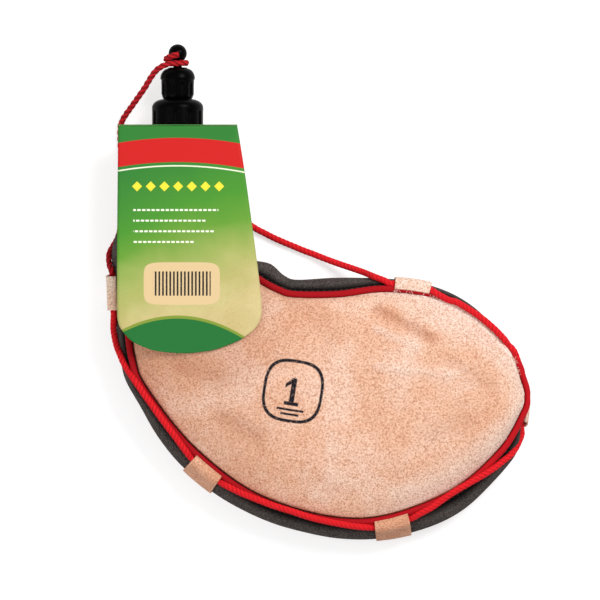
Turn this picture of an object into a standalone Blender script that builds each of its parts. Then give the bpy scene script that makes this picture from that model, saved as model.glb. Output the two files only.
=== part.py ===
"""Leather bota bag: a kidney-shaped wine skin of suede with a screw neck, a carrying cord and a card tag.

The bag lies on its back. +X is the bag's right, +Y points along the neck to the cap, +Z is up, away
from the floor. The origin is on the floor, under the middle of the bag's outline. Metres.
"""

import math

import bmesh
import bpy
from mathutils import Vector

# Driving dimensions
BAG_WIDTH = 0.280
BAG_LENGTH = 0.2705
FRONT_SEAM_HEIGHT = 0.0335
BACK_SEAM_HEIGHT = 0.0090
FRONT_CROWN = 0.0125
BACK_CROWN = 0.0110
NECK_HEIGHT = 0.0220
NECK_SHARE = 0.1645
CLEARANCE = 0.0003
CROWN_REACH = 0.070
STATION_SPACING = 0.0175

# Bag leather and lining
LEATHER_THICKNESS = 0.0014
GUSSET_THICKNESS = 0.0012
BACK_INSET = 0.0080
PIPING_RADIUS = 0.0021
GUSSET_LEAST_BULGE = 0.0014
GUSSET_REACH_SHARE = 1.3
GUSSET_MIDDLE = 0.5
NECK_CROWN_POWER = 2.0
BODY_CROWN_POWER = 3.5
LINER_GAP = 0.0012
LINER_WALL = 0.0005
LINER_SQUARENESS = 0.4

# Leather neck, at its upper edge
NECK_SEAM_RISE = 0.0100
NECK_RIDGE = 0.0042
NECK_BACK_INSET = 0.0040
NECK_LINER_RADIUS = 0.0116

# Filler neck
FLANGE_RADIUS = 0.0150
FLANGE_THICKNESS = 0.0022
BARREL_RADIUS = 0.0103
BARREL_LENGTH = 0.0240
BARREL_RIDGE = 0.0003
BARREL_RIDGE_SHARES = (0.35, 0.65)
FILLER_BORE = 0.0086
THREAD_RADIUS = 0.0122
THREAD_LENGTH = 0.0100

# Spout collar
COLLAR_HEIGHT = 0.0172
COLLAR_RADIUS = 0.0170
COLLAR_SHOULDER_RISE = 0.0056
COLLAR_MOUTH_RADIUS = 0.0092
COLLAR_BORE = 0.0131
COLLAR_FILLET = 0.0008
COLLAR_FLUTES = 12
COLLAR_FLUTE_RADIUS = 0.0034
COLLAR_FLUTE_DEPTH = 0.0010
COLLAR_FLUTE_TOP = 0.0110
GASKET_THICKNESS = 0.0012
SPOUT_RADIUS = 0.0070
SPOUT_LENGTH = 0.0140
SPOUT_WELL_RADIUS = 0.0050
SPOUT_JET_RADIUS = 0.0016
SPOUT_TIP = 0.0030

# Screw cap
CAP_FOOT_RADIUS = 0.0095
CAP_FOOT_RISE = 0.0032
CAP_RADIUS = 0.0109
CAP_SHOULDER_RADIUS = 0.0115
CAP_SHOULDER_RISE = 0.0134
CAP_HEIGHT = 0.0207
CAP_CROWN_RADIUS = 0.0061
CAP_CROWN_DROP = 0.0005
CAP_BORE = 0.0081
CAP_FLUTES = 10
CAP_FLUTE_RADIUS = 0.0040
CAP_FLUTE_DEPTH = 0.0008
SEAL_THICKNESS = 0.0012
KNOB_RADIUS = 0.0061
KNOB_NECK_RADIUS = 0.0028
KNOB_RISE = 0.0094

# Cord
CORD_RADIUS = 0.0021
BINDING_RADIUS = 0.0174
BINDING_PITCH = 0.0048
BINDING_TURNS = 2.75
BINDING_BELOW_EDGE = 0.0028
LOOP_TURNS = 1
LOOP_START_ANGLE = -1.45
LOOP_SLOPE = 0.0016
LOOP_LIFT = 0.0042
LOOP_LAST_RISE = 0.0026

# Leather keepers
KEEPER_LENGTH = 0.0235
KEEPER_THICKNESS = 0.0012
KEEPER_FOOT = 0.0065
KEEPER_END_SHARE = 0.93
KEEPER_STEPS = 4

# Hang tag
CARD_THICKNESS = 0.0005
TAG_LENGTH = 0.1505
TAG_TOP_WIDTH = 0.0784
TAG_LEFT_SHARE = 0.4923
TAG_TILT_DEGREES = 2.2
TAG_STAND_OFF = 0.0006
FLAP_HOLE_RADIUS = 0.0127
FLAP_SIDE_LAND = 0.0105
FLAP_ROUND = 0.0080
FLAP_BELOW_NECK = 0.0175

TURN_STEPS = 36
FLUTED_TURN_STEPS = 48
SMALL_TURN_STEPS = 24
LOOP_STEPS = 24
OVERRUN = 0.002
MERGE_DISTANCE = 0.00001
LEAST_STATION_STEP = 0.2
PLACE_STEP = 0.02

# The bag's outlines, from the neck's left edge down round the far end and back to its right edge.
# Each point is a share of the bag's width, from the left, and of its length, from the bottom.
SILHOUETTE_LEFT_SHARES = [
    (0.116, 1.000), (0.1155, 0.931), (0.079, 0.848), (0.030, 0.768), (0.0095, 0.702),
    (0.015, 0.621), (0.019, 0.531), (0.0285, 0.448), (0.056, 0.365), (0.178, 0.183),
    (0.362, 0.055), (0.600, 0.000), (0.812, 0.059), (0.947, 0.195), (0.974, 0.268),
]
SILHOUETTE_TIP_SHARES = (0.974, 0.352)
SILHOUETTE_RIGHT_SHARES = [
    (0.213, 1.000), (0.2135, 0.931), (0.228, 0.857), (0.251, 0.786), (0.289, 0.728),
    (0.336, 0.687), (0.383, 0.672), (0.416, 0.645), (0.449, 0.634), (0.546, 0.639),
    (0.652, 0.638), (0.765, 0.618), (0.866, 0.555), (0.947, 0.470), (0.967, 0.412),
]
SEAM_LEFT_SHARES = [
    (0.1293, 1.000), (0.1293, 0.926), (0.107, 0.840), (0.070, 0.757), (0.053, 0.689),
    (0.051, 0.611), (0.055, 0.531), (0.065, 0.445), (0.093, 0.370), (0.211, 0.220),
    (0.376, 0.101), (0.595, 0.052), (0.794, 0.113), (0.919, 0.218), (0.974, 0.313),
]
SEAM_TIP_SHARES = (0.981, 0.348)
SEAM_RIGHT_SHARES = [
    (0.1997, 1.000), (0.1997, 0.931), (0.213, 0.850), (0.232, 0.772), (0.268, 0.709),
    (0.315, 0.657), (0.362, 0.623), (0.397, 0.604), (0.438, 0.591), (0.544, 0.591),
    (0.652, 0.604), (0.763, 0.590), (0.860, 0.545), (0.942, 0.462), (0.976, 0.382),
]
TIP = len(SEAM_LEFT_SHARES)
# The tag's front leaf: shares of its upper width, from its left corner, and of its length, down from the crease.
TAG_SHARES = [
    (0.000, 0.000), (-0.007, 0.460), (-0.008, 0.655), (-0.006, 0.817), (0.000, 0.853), (0.020, 0.884),
    (0.068, 0.918), (0.131, 0.947), (0.262, 0.977), (0.364, 0.988), (0.492, 0.993), (0.620, 0.993),
    (0.727, 0.987), (0.833, 0.976), (1.005, 0.942), (1.080, 0.918), (1.143, 0.891), (1.186, 0.859),
    (1.204, 0.825), (1.205, 0.795), (1.199, 0.739), (1.160, 0.572), (1.068, 0.221), (1.000, 0.000),
]
NECK_END = 0.75
PIPING_START = 1.15
BODY_START = 3.2

# Where each keeper sits: its place along the outline, and the cord's place across the gusset.
KEEPERS = {
    "keeper_left": (5.155, 0.36),
    "keeper_lower_left": (9.24, 0.15),
    "keeper_bottom": (11.337, 0.15),
    "keeper_right": (14.50, 0.60),
    "keeper_top_right": (19.42, 0.15),
}

# The cord's route, by hand, from the cap's knob round the bag and back to the neck:
# shares of the bag's width and of its length, then the height of the cord's middle.
TETHER_ROUTE = [
    (0.1470, 1.1631, 0.0286),
    (0.1392, 1.1627, 0.0287),
    (0.1313, 1.1613, 0.0283),
    (0.1278, 1.1564, 0.0268),
    (0.1174, 1.1499, 0.0250),
    (0.1073, 1.1390, 0.0232),
    (0.0988, 1.1266, 0.0214),
    (0.0859, 1.1051, 0.0184),
    (0.0702, 1.0831, 0.0148),
    (0.0540, 1.0609, 0.0106),
    (0.0387, 1.0399, 0.0066),
    (0.0293, 1.0231, 0.0040),
    (0.0261, 1.0043, 0.0028),
    (0.0267, 0.9649, 0.0024),
    (0.0291, 0.9156, 0.0024),
    (0.0310, 0.8662, 0.0024),
    (0.0315, 0.8194, 0.0024),
    (0.0299, 0.7849, 0.0028),
    (0.0256, 0.7576, 0.0046),
    (0.0195, 0.7353, 0.0086),
    (0.0083, 0.7169, 0.0128),
    (-0.0002, 0.7010, 0.0166),
    (0.0005, 0.6832, 0.0208),
    (0.0038, 0.6672, 0.0240),
    (0.0081, 0.6559, 0.0262),
    (0.0097, 0.6356, 0.0261),
    (0.0110, 0.6108, 0.0260),
    (0.0118, 0.5869, 0.0260),
]
CARRYING_ROUTE = [
    (0.0119, 0.5836, 0.0260),
    (0.0126, 0.5660, 0.0260),
    (0.0136, 0.5460, 0.0261),
    (0.0130, 0.5117, 0.0222),
    (0.0203, 0.4746, 0.0250),
    (0.0285, 0.4537, 0.0284),
    (0.0370, 0.4330, 0.0300),
    (0.0490, 0.4116, 0.0312),
    (0.0628, 0.3914, 0.0358),
    (0.0761, 0.3722, 0.0368),
    (0.0887, 0.3527, 0.0372),
    (0.1026, 0.3334, 0.0372),
    (0.1153, 0.3142, 0.0372),
    (0.1367, 0.2840, 0.0370),
    (0.1595, 0.2535, 0.0368),
    (0.1742, 0.2374, 0.0377),
    (0.1772, 0.2216, 0.0361),
    (0.1837, 0.2088, 0.0335),
    (0.1887, 0.1913, 0.0303),
    (0.2058, 0.1752, 0.0304),
    (0.2235, 0.1592, 0.0304),
    (0.2418, 0.1438, 0.0304),
    (0.2603, 0.1292, 0.0303),
    (0.2776, 0.1274, 0.0335),
    (0.2911, 0.1228, 0.0361),
    (0.3070, 0.1224, 0.0377),
    (0.3125, 0.1167, 0.0368),
    (0.3481, 0.1010, 0.0372),
    (0.3872, 0.0856, 0.0374),
    (0.4312, 0.0715, 0.0374),
    (0.4776, 0.0557, 0.0374),
    (0.5202, 0.0419, 0.0368),
    (0.5600, 0.0345, 0.0364),
    (0.5822, 0.0372, 0.0377),
    (0.5959, 0.0287, 0.0361),
    (0.6100, 0.0252, 0.0335),
    (0.6269, 0.0176, 0.0305),
    (0.6503, 0.0210, 0.0305),
    (0.6738, 0.0260, 0.0306),
    (0.6971, 0.0322, 0.0306),
    (0.7197, 0.0393, 0.0306),
    (0.7330, 0.0555, 0.0335),
    (0.7443, 0.0645, 0.0361),
    (0.7538, 0.0778, 0.0377),
    (0.7772, 0.0937, 0.0374),
    (0.8151, 0.1168, 0.0374),
    (0.8462, 0.1354, 0.0374),
    (0.8797, 0.1550, 0.0368),
    (0.8975, 0.1661, 0.0362),
    (0.9167, 0.1792, 0.0338),
    (0.9341, 0.1930, 0.0312),
    (0.9512, 0.2069, 0.0292),
    (0.9640, 0.2231, 0.0258),
    (0.9737, 0.2423, 0.0220),
    (0.9789, 0.2566, 0.0192),
    (0.9787, 0.2695, 0.0176),
    (0.9810, 0.2930, 0.0174),
    (0.9825, 0.3186, 0.0172),
    (0.9813, 0.3450, 0.0172),
    (0.9800, 0.3712, 0.0172),
    (0.9799, 0.3913, 0.0184),
    (0.9790, 0.4111, 0.0208),
    (0.9823, 0.4349, 0.0300),
    (0.9796, 0.4489, 0.0324),
    (0.9722, 0.4602, 0.0349),
    (0.9608, 0.4691, 0.0367),
    (0.9472, 0.4768, 0.0376),
    (0.9357, 0.4887, 0.0372),
    (0.9190, 0.5072, 0.0374),
    (0.8997, 0.5260, 0.0374),
    (0.8801, 0.5423, 0.0374),
    (0.8601, 0.5569, 0.0374),
    (0.8406, 0.5696, 0.0374),
    (0.8220, 0.5803, 0.0374),
    (0.8065, 0.5910, 0.0379),
    (0.7966, 0.6045, 0.0363),
    (0.7846, 0.6133, 0.0336),
    (0.7699, 0.6202, 0.0288),
    (0.7460, 0.6268, 0.0290),
    (0.7215, 0.6315, 0.0290),
    (0.7071, 0.6335, 0.0290),
]
SHOULDER_ROUTE = [
    (0.7049, 0.6337, 0.0290),
    (0.6872, 0.6355, 0.0291),
    (0.6675, 0.6369, 0.0291),
    (0.6527, 0.6330, 0.0308),
    (0.6291, 0.6424, 0.0272),
    (0.6054, 0.6529, 0.0184),
    (0.5815, 0.6618, 0.0132),
    (0.5574, 0.6703, 0.0092),
    (0.5335, 0.6790, 0.0066),
    (0.5097, 0.6884, 0.0046),
    (0.4859, 0.6981, 0.0034),
    (0.4617, 0.7075, 0.0027),
    (0.4383, 0.7176, 0.0024),
    (0.4147, 0.7277, 0.0024),
    (0.3912, 0.7385, 0.0024),
    (0.3685, 0.7506, 0.0024),
    (0.3445, 0.7639, 0.0024),
    (0.2696, 0.8155, 0.0026),
    (0.2493, 0.8599, 0.0030),
    (0.2350, 0.8969, 0.0044),
    (0.2286, 0.9264, 0.0074),
    (0.2282, 0.9390, 0.0120),
    (0.2286, 0.9401, 0.0168),
]

BAG_LEFT = -BAG_WIDTH / 2
TAG_LEFT = -TAG_LEFT_SHARE * TAG_TOP_WIDTH
COLLAR_BASE = FLANGE_THICKNESS + CARD_THICKNESS + 3 * CLEARANCE
CAP_BASE = COLLAR_BASE + COLLAR_HEIGHT + CLEARANCE
KNOB_CENTRE = CAP_BASE + CAP_HEIGHT + KNOB_RISE
STACK_HEIGHT = KNOB_CENTRE + KNOB_RADIUS
BAG_BOTTOM = -(BAG_LENGTH + STACK_HEIGHT) / 2
NECK_TOP = BAG_BOTTOM + BAG_LENGTH
NECK_X = BAG_LEFT + NECK_SHARE * BAG_WIDTH
PIPING_OFFSET = PIPING_RADIUS + CLEARANCE

parts = bpy.data.collections.new("bota_bag")
cutters = bpy.data.collections.new("cutters")


def clear_scene():
    for old in list(bpy.data.objects):
        bpy.data.objects.remove(old, do_unlink=True)
    bpy.context.scene.collection.children.link(parts)
    bpy.context.scene.collection.children.link(cutters)
    cutters.hide_render = True


def material(name, colour, roughness, metallic=0.0):
    found = bpy.data.materials.get(name)
    if found:
        return found
    made = bpy.data.materials.new(name)
    made.use_nodes = True
    made.diffuse_color = (*colour, 1.0)
    shader = made.node_tree.nodes["Principled BSDF"]
    shader.inputs["Base Color"].default_value = (*colour, 1.0)
    shader.inputs["Roughness"].default_value = roughness
    shader.inputs["Metallic"].default_value = metallic
    return made


def finishes():
    """The finish of every kind of piece."""
    return {
        "suede": material("suede", (0.78, 0.55, 0.42), 0.95),
        "gusset": material("gusset_leather", (0.055, 0.055, 0.06), 0.9),
        "piping": material("red_piping", (0.62, 0.02, 0.03), 0.55),
        "cord": material("red_cord", (0.70, 0.02, 0.04), 0.7),
        "plastic": material("black_plastic", (0.012, 0.012, 0.013), 0.3),
        "rubber": material("grey_rubber", (0.12, 0.12, 0.12), 0.8),
        "liner": material("liner_film", (0.75, 0.75, 0.70), 0.4),
        "card": material("printed_card", (0.25, 0.50, 0.12), 0.6),
    }


def add_part(name, mesh, finish, parent=None, smooth_angle=35.0):
    """A new named piece of the bag, shaded smooth but for its sharp edges."""
    mesh.shade_smooth()
    mesh.set_sharp_from_angle(angle=math.radians(smooth_angle))
    piece = bpy.data.objects.new(name, mesh)
    piece.data.materials.append(finish)
    parts.objects.link(piece)
    piece.parent = parent
    return piece


def thicken(piece, thickness, offset=-1.0):
    wall = piece.modifiers.new("wall", "SOLIDIFY")
    wall.thickness = thickness
    wall.offset = offset
    wall.use_even_offset = False
    return wall


def blend(start, end, share):
    return start + (end - start) * share


def smooth_share(value, start, end):
    share = min(max((value - start) / (end - start), 0.0), 1.0)
    return share * share * (3.0 - 2.0 * share)


def outline_points(left_shares, tip_shares, right_shares):
    """The outline's control points in metres, neck's left edge to neck's right edge."""
    shares = left_shares + [tip_shares] + right_shares[::-1]
    return [Vector((BAG_LEFT + x * BAG_WIDTH, BAG_BOTTOM + y * BAG_LENGTH)) for x, y in shares]


SILHOUETTE = outline_points(SILHOUETTE_LEFT_SHARES, SILHOUETTE_TIP_SHARES, SILHOUETTE_RIGHT_SHARES)
SEAM = outline_points(SEAM_LEFT_SHARES, SEAM_TIP_SHARES, SEAM_RIGHT_SHARES)


def on_curve(points, place):
    """A point on the smooth curve through these points. A whole number is one of them."""
    last = len(points) - 1
    place = min(max(place, 0.0), float(last))
    first = min(int(place), last - 1)
    share = place - first
    a = points[max(first - 1, 0)]
    b = points[first]
    c = points[first + 1]
    d = points[min(first + 2, last)]
    return 0.5 * (
        2 * b
        + (c - a) * share
        + (2 * a - 5 * b + 4 * c - d) * share**2
        + (3 * b - a - 3 * c + d) * share**3
    )


def outward(points, place):
    """The unit vector that points out of the outline there, in the plane of the bag."""
    nudge = 0.02
    along = on_curve(points, place + nudge) - on_curve(points, place - nudge)
    along.normalize()
    return Vector((along.y, -along.x))


def row_of(place):
    """How far a place on the outline is from the neck, as a station number."""
    return min(place, 2 * TIP - place)


def body_share(row):
    """0 on the tied neck, 1 on the bag's body."""
    return smooth_share(row, NECK_END, BODY_START)


def piping_share(row):
    """How far the seam has opened to take its piping: 0 on the tied neck, 1 where the piping starts."""
    return smooth_share(row, NECK_END, PIPING_START)


def front_seam_height(row):
    return blend(NECK_HEIGHT + NECK_SEAM_RISE, FRONT_SEAM_HEIGHT, body_share(row))


def back_seam_height(row):
    return blend(NECK_HEIGHT - NECK_SEAM_RISE, BACK_SEAM_HEIGHT, body_share(row))


def back_inset(row):
    return blend(NECK_BACK_INSET, BACK_INSET, body_share(row))


def front_seam(place):
    return on_curve(SEAM, place)


def back_seam(place):
    return on_curve(SILHOUETTE, place) - outward(SILHOUETTE, place) * back_inset(row_of(place))


def stations():
    """Station numbers from the neck to the tip, spaced by the longer side of the outline."""
    numbers = [0.0, NECK_END, PIPING_START]
    for row in range(1, TIP):
        left = (on_curve(SILHOUETTE, row + 1) - on_curve(SILHOUETTE, row)).length
        right = (on_curve(SILHOUETTE, 2 * TIP - row - 1) - on_curve(SILHOUETTE, 2 * TIP - row)).length
        count = max(1, round(max(left, right) / STATION_SPACING))
        numbers += [row + (step + 1) / count for step in range(count)]
    return numbers


def places(start=0.0):
    """Places all round the outline, at the stations on the way out and again on the way back."""
    out = [start] + [number for number in stations() if number > start + LEAST_STATION_STEP]
    return out + [2 * TIP - number for number in out[-2::-1]]


def crown_share(half_width):
    """A narrow stretch of the bag is crowned less than a wide one."""
    reach = min(half_width / CROWN_REACH, 1.0)
    return math.sqrt(1.0 - (1.0 - reach) ** 2)


def panel_point(row, across, front, inset=0.0):
    """A point on a panel's outer face. across runs from -1 at the left seam to 1 at the right one."""
    seam = front_seam if front else back_seam
    left = seam(row)
    right = seam(2 * TIP - row)
    middle = (left + right) / 2
    half = (right - left).length / 2
    share = body_share(row)
    crown = FRONT_CROWN if front else BACK_CROWN
    ridge = blend(NECK_RIDGE, crown * crown_share(half), share)
    power = blend(NECK_CROWN_POWER, BODY_CROWN_POWER, share)
    rise = ridge * (1.0 - abs(across) ** power)
    flat = middle + (right - left) * across / 2
    if front:
        height = front_seam_height(row) + rise - inset
    else:
        height = max(back_seam_height(row) - rise, 0.0) + inset
    return Vector((flat.x, flat.y, height))


def grid_mesh(name, rows, flip=False, wrap=False):
    """A mesh of quads through rows of points. Points that coincide are merged."""
    shape = bmesh.new()
    grid = [[shape.verts.new(point) for point in row] for row in rows]
    width = len(rows[0])
    for upper, lower in zip(grid, grid[1:]):
        for step in range(width if wrap else width - 1):
            beside = (step + 1) % width
            corners = [upper[step], lower[step], lower[beside], upper[beside]]
            shape.faces.new(corners[::-1] if flip else corners)
    bmesh.ops.remove_doubles(shape, verts=shape.verts, dist=CLEARANCE / 3)
    mesh = bpy.data.meshes.new(name)
    shape.to_mesh(mesh)
    shape.free()
    return mesh


def panel(name, front, steps, finish):
    spread = [-math.cos(math.pi * step / steps) for step in range(steps + 1)]
    rows = [[panel_point(row, across, front) for across in spread] for row in stations()]
    piece = add_part(name, grid_mesh(name, rows, flip=not front), finish)
    thicken(piece, LEATHER_THICKNESS)
    return piece


def piping_centre(place, front):
    """The middle of the piping cord, just outside the panel's edge."""
    row = row_of(place)
    if front:
        flat = front_seam(place) + outward(SEAM, place) * PIPING_OFFSET
        height = front_seam_height(row) - LEATHER_THICKNESS / 2
    else:
        flat = back_seam(place) + outward(SILHOUETTE, place) * PIPING_OFFSET
        height = back_seam_height(row) + LEATHER_THICKNESS / 2
    return Vector((flat.x, flat.y, height))


def tube(name, points, radius, finish, resolution=2, sides=None, parent=None):
    """A round tube with closed ends through these points."""
    line = bpy.data.curves.new(name, "CURVE")
    line.dimensions = "3D"
    line.bevel_depth = radius
    line.bevel_resolution = resolution
    line.use_fill_caps = True
    spline = line.splines.new("POLY")
    spline.points.add(len(points) - 1)
    for target, point in zip(spline.points, points):
        target.co = (*point, 1.0)
    spline.use_smooth = True
    piece = bpy.data.objects.new(name, line)
    piece.data.materials.append(finish)
    parts.objects.link(piece)
    piece.parent = parent
    return piece


def piping(name, front, finish):
    points = [piping_centre(place, front) for place in places(PIPING_START)]
    return tube(name, points, PIPING_RADIUS, finish)


def gusset_section(place):
    """The gusset's outer face there: its first edge, its last edge, and how far it bulges."""
    row = row_of(place)
    share = piping_share(row)
    reach = blend(CLEARANCE, PIPING_OFFSET * GUSSET_REACH_SHARE, share)
    drop = blend(0.0, PIPING_OFFSET + LEATHER_THICKNESS / 2, share)
    top = front_seam(place) + outward(SEAM, place) * reach
    foot = back_seam(place) + outward(SILHOUETTE, place) * reach
    side = on_curve(SILHOUETTE, place)
    out = outward(SILHOUETTE, place)
    top_height = front_seam_height(row) - drop
    foot_height = back_seam_height(row) + drop
    bulge = max((side - (top + foot) / 2).dot(out), GUSSET_LEAST_BULGE)
    return top, foot, top_height, foot_height, out, bulge


def gusset_point(place, across, lift=0.0):
    """A point on the gusset, from 0 at the front piping to 1 at the back, lifted off its face."""
    top, foot, top_height, foot_height, out, bulge = gusset_section(place)
    angle = math.pi * across
    sweep = (1.0 - math.cos(angle)) / 2
    flat = top + (foot - top) * sweep + out * bulge * math.sin(angle)
    height = blend(top_height, foot_height, sweep)
    point = Vector((flat.x, flat.y, height))
    if not lift:
        return point
    half = (top_height - foot_height) / 2
    slant = (foot - top).dot(out) / 2
    side = half * math.sin(angle)
    up = bulge * math.cos(angle) + slant * math.sin(angle)
    normal = Vector((out.x * side, out.y * side, up)).normalized()
    return point + normal * lift


def gusset_girth(place):
    """The length of the gusset's face from piping to piping, about."""
    top, foot, top_height, foot_height, out, bulge = gusset_section(place)
    half = (top_height - foot_height) / 2
    return math.pi * math.sqrt((half**2 + bulge**2) / 2)


def side_gusset(finish):
    steps = 6
    rows = []
    for place in places():
        rows.append([gusset_point(place, step / steps) for step in range(steps + 1)])
    piece = add_part("side_gusset", grid_mesh("side_gusset", rows, flip=True), finish)
    thicken(piece, GUSSET_THICKNESS)
    return piece


def liner_ring(row, steps):
    """The bladder's outer face at a station: round in the neck, full and flattened in the body."""
    share = smooth_share(row, NECK_END, BODY_START)
    sides = []
    for place in (row, 2 * TIP - row):
        gap = (on_curve(SILHOUETTE, place) - front_seam(place)).length
        inset = max(gap, back_inset(row)) + PIPING_RADIUS
        sides.append(on_curve(SILHOUETTE, place) - outward(SILHOUETTE, place) * inset)
    left, right = sides
    wall = LEATHER_THICKNESS + LINER_GAP
    neck_y = on_curve(SILHOUETTE, row).y
    ring = []
    for step in range(steps):
        angle = math.pi * (1.0 - 2.0 * step / steps)
        across = math.cos(angle)
        swell = math.sin(angle)
        top = panel_point(row, across, True, wall).z
        foot = panel_point(row, across, False, wall).z
        middle = (top + foot) / 2
        height = middle + (top - middle) * math.copysign(abs(swell) ** LINER_SQUARENESS, swell)
        flat = (left + right) / 2 + (right - left) * across / 2
        body = Vector((flat.x, flat.y, height))
        neck = Vector((NECK_X + NECK_LINER_RADIUS * across, neck_y, NECK_HEIGHT + NECK_LINER_RADIUS * swell))
        ring.append(neck.lerp(body, share))
    return ring


def inner_liner(finish):
    steps = 16
    rows = [liner_ring(row, steps) for row in stations()]
    piece = add_part("inner_liner", grid_mesh("inner_liner", rows, wrap=True), finish)
    thicken(piece, LINER_WALL)
    return piece


def moved_along(place, distance):
    """The place on the gusset that lies this far along it."""
    nudge = math.copysign(PLACE_STEP, distance)
    left = abs(distance)
    while left > 0.0:
        step = (gusset_point(place + nudge, GUSSET_MIDDLE) - gusset_point(place, GUSSET_MIDDLE)).length
        place += nudge * min(left / step, 1.0)
        left -= step
    return place


def keeper(name, place, cord_share, finish):
    """A strip sewn into both seams, which lies on the gusset and passes over the cord."""
    girth = gusset_girth(place)
    lie = CLEARANCE + KEEPER_THICKNESS / 2
    cord_lift = CORD_RADIUS + CLEARANCE
    over = cord_lift + lie
    start = PIPING_OFFSET / girth
    middle = max(cord_share, start + over / girth)
    path = []
    if middle * girth > over + KEEPER_FOOT:
        path += [(start, lie), (middle - KEEPER_FOOT / girth, lie)]
    for turn in (180, 150, 120, 90, 60, 30):
        angle = math.radians(turn)
        path.append((middle + math.cos(angle) * over / girth, cord_lift + math.sin(angle) * over))
    path.append((middle + KEEPER_FOOT / girth, lie))
    left = KEEPER_END_SHARE - path[-1][0]
    path += [(path[-1][0] + left * step / KEEPER_STEPS, lie) for step in range(1, KEEPER_STEPS + 1)]
    rows = []
    for step in range(KEEPER_STEPS + 1):
        there = moved_along(place, KEEPER_LENGTH * (step / KEEPER_STEPS - 0.5))
        rows.append([gusset_point(there, across, lift) for across, lift in path])
    piece = add_part(name, grid_mesh(name, rows, flip=True), finish)
    thicken(piece, KEEPER_THICKNESS, 0.0)
    return piece


def turned(name, profile, steps, finish, parent, closed=True):
    """A shape turned about its own Z axis. The profile is (radius, height), down the outer side first."""
    mesh = bpy.data.meshes.new(name)
    edges = [(index, index + 1) for index in range(len(profile) - 1)]
    if closed:
        edges.append((len(profile) - 1, 0))
    mesh.from_pydata([(radius, 0.0, height) for radius, height in profile], edges, [])
    piece = bpy.data.objects.new(name, mesh)
    if finish:
        piece.data.materials.append(finish)
        parts.objects.link(piece)
    else:
        cutters.objects.link(piece)
    piece.parent = parent
    screw = piece.modifiers.new("turn", "SCREW")
    screw.steps = steps
    screw.render_steps = steps
    screw.use_merge_vertices = True
    screw.merge_threshold = MERGE_DISTANCE
    screw.use_smooth_shade = True
    return piece


def arc_profile(radius, height, size, start, end, steps):
    """Profile points on an arc about (radius, height), angles in degrees from the outward direction."""
    points = []
    for step in range(steps + 1):
        angle = math.radians(blend(start, end, step / steps))
        points.append((radius + size * math.cos(angle), height + size * math.sin(angle)))
    return points


def flute_cutter(name, count, ring_radius, radius, foot, top, parent):
    """A ring of round-ended rods, which cut the grip flutes."""
    shape = bmesh.new()
    for index in range(count):
        rod = bmesh.ops.create_uvsphere(shape, u_segments=12, v_segments=6, radius=radius)["verts"]
        turn = 2 * math.pi * index / count
        for vert in rod:
            if vert.co.z < -radius / 100:
                vert.co.z += foot - top + 2 * radius
            vert.co += Vector((ring_radius * math.cos(turn), ring_radius * math.sin(turn), top - radius))
    mesh = bpy.data.meshes.new(name)
    shape.to_mesh(mesh)
    shape.free()
    cutter = bpy.data.objects.new(name, mesh)
    cutter.hide_render = True
    cutter.display_type = "WIRE"
    cutters.objects.link(cutter)
    cutter.parent = parent
    return cutter


def cut(piece, cutter):
    hole = piece.modifiers.new("flutes", "BOOLEAN")
    hole.operation = "DIFFERENCE"
    hole.object = cutter


def neck_axis():
    """An empty on the neck's axis, at the leather's upper edge, with its Z along the neck."""
    axis = bpy.data.objects.new("neck_axis", None)
    axis.location = (NECK_X, NECK_TOP, NECK_HEIGHT)
    axis.rotation_euler = (-math.pi / 2, 0.0, 0.0)
    parts.objects.link(axis)
    return axis


def neck_base(axis, finish):
    """Barrel with holding ridges, flange and threaded stub, bored through."""
    flange_top = CLEARANCE + FLANGE_THICKNESS
    rim = COLLAR_BASE + THREAD_LENGTH
    profile = [
        (FILLER_BORE, rim),
        (THREAD_RADIUS - COLLAR_FILLET, rim),
        (THREAD_RADIUS, rim - COLLAR_FILLET),
        (THREAD_RADIUS, flange_top),
        (FLANGE_RADIUS, flange_top),
        (FLANGE_RADIUS, CLEARANCE),
        (BARREL_RADIUS, CLEARANCE),
    ]
    for ridge in BARREL_RIDGE_SHARES:
        height = CLEARANCE - BARREL_LENGTH * ridge
        profile += [
            (BARREL_RADIUS, height + 2 * BARREL_RIDGE),
            (BARREL_RADIUS + BARREL_RIDGE, height),
            (BARREL_RADIUS, height - 2 * BARREL_RIDGE),
        ]
    profile += [
        (BARREL_RADIUS, CLEARANCE - BARREL_LENGTH + COLLAR_FILLET),
        (BARREL_RADIUS - COLLAR_FILLET, CLEARANCE - BARREL_LENGTH),
        (FILLER_BORE, CLEARANCE - BARREL_LENGTH),
    ]
    return turned("neck_base", profile, TURN_STEPS, finish, axis)


def gasket_foot():
    return COLLAR_BASE + THREAD_LENGTH + CLEARANCE


def collar_gasket(axis, finish):
    foot = gasket_foot()
    profile = [
        (THREAD_RADIUS, foot + GASKET_THICKNESS),
        (THREAD_RADIUS, foot),
        (FILLER_BORE, foot),
        (FILLER_BORE, foot + GASKET_THICKNESS),
    ]
    return turned("collar_gasket", profile, SMALL_TURN_STEPS, finish, axis)


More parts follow.
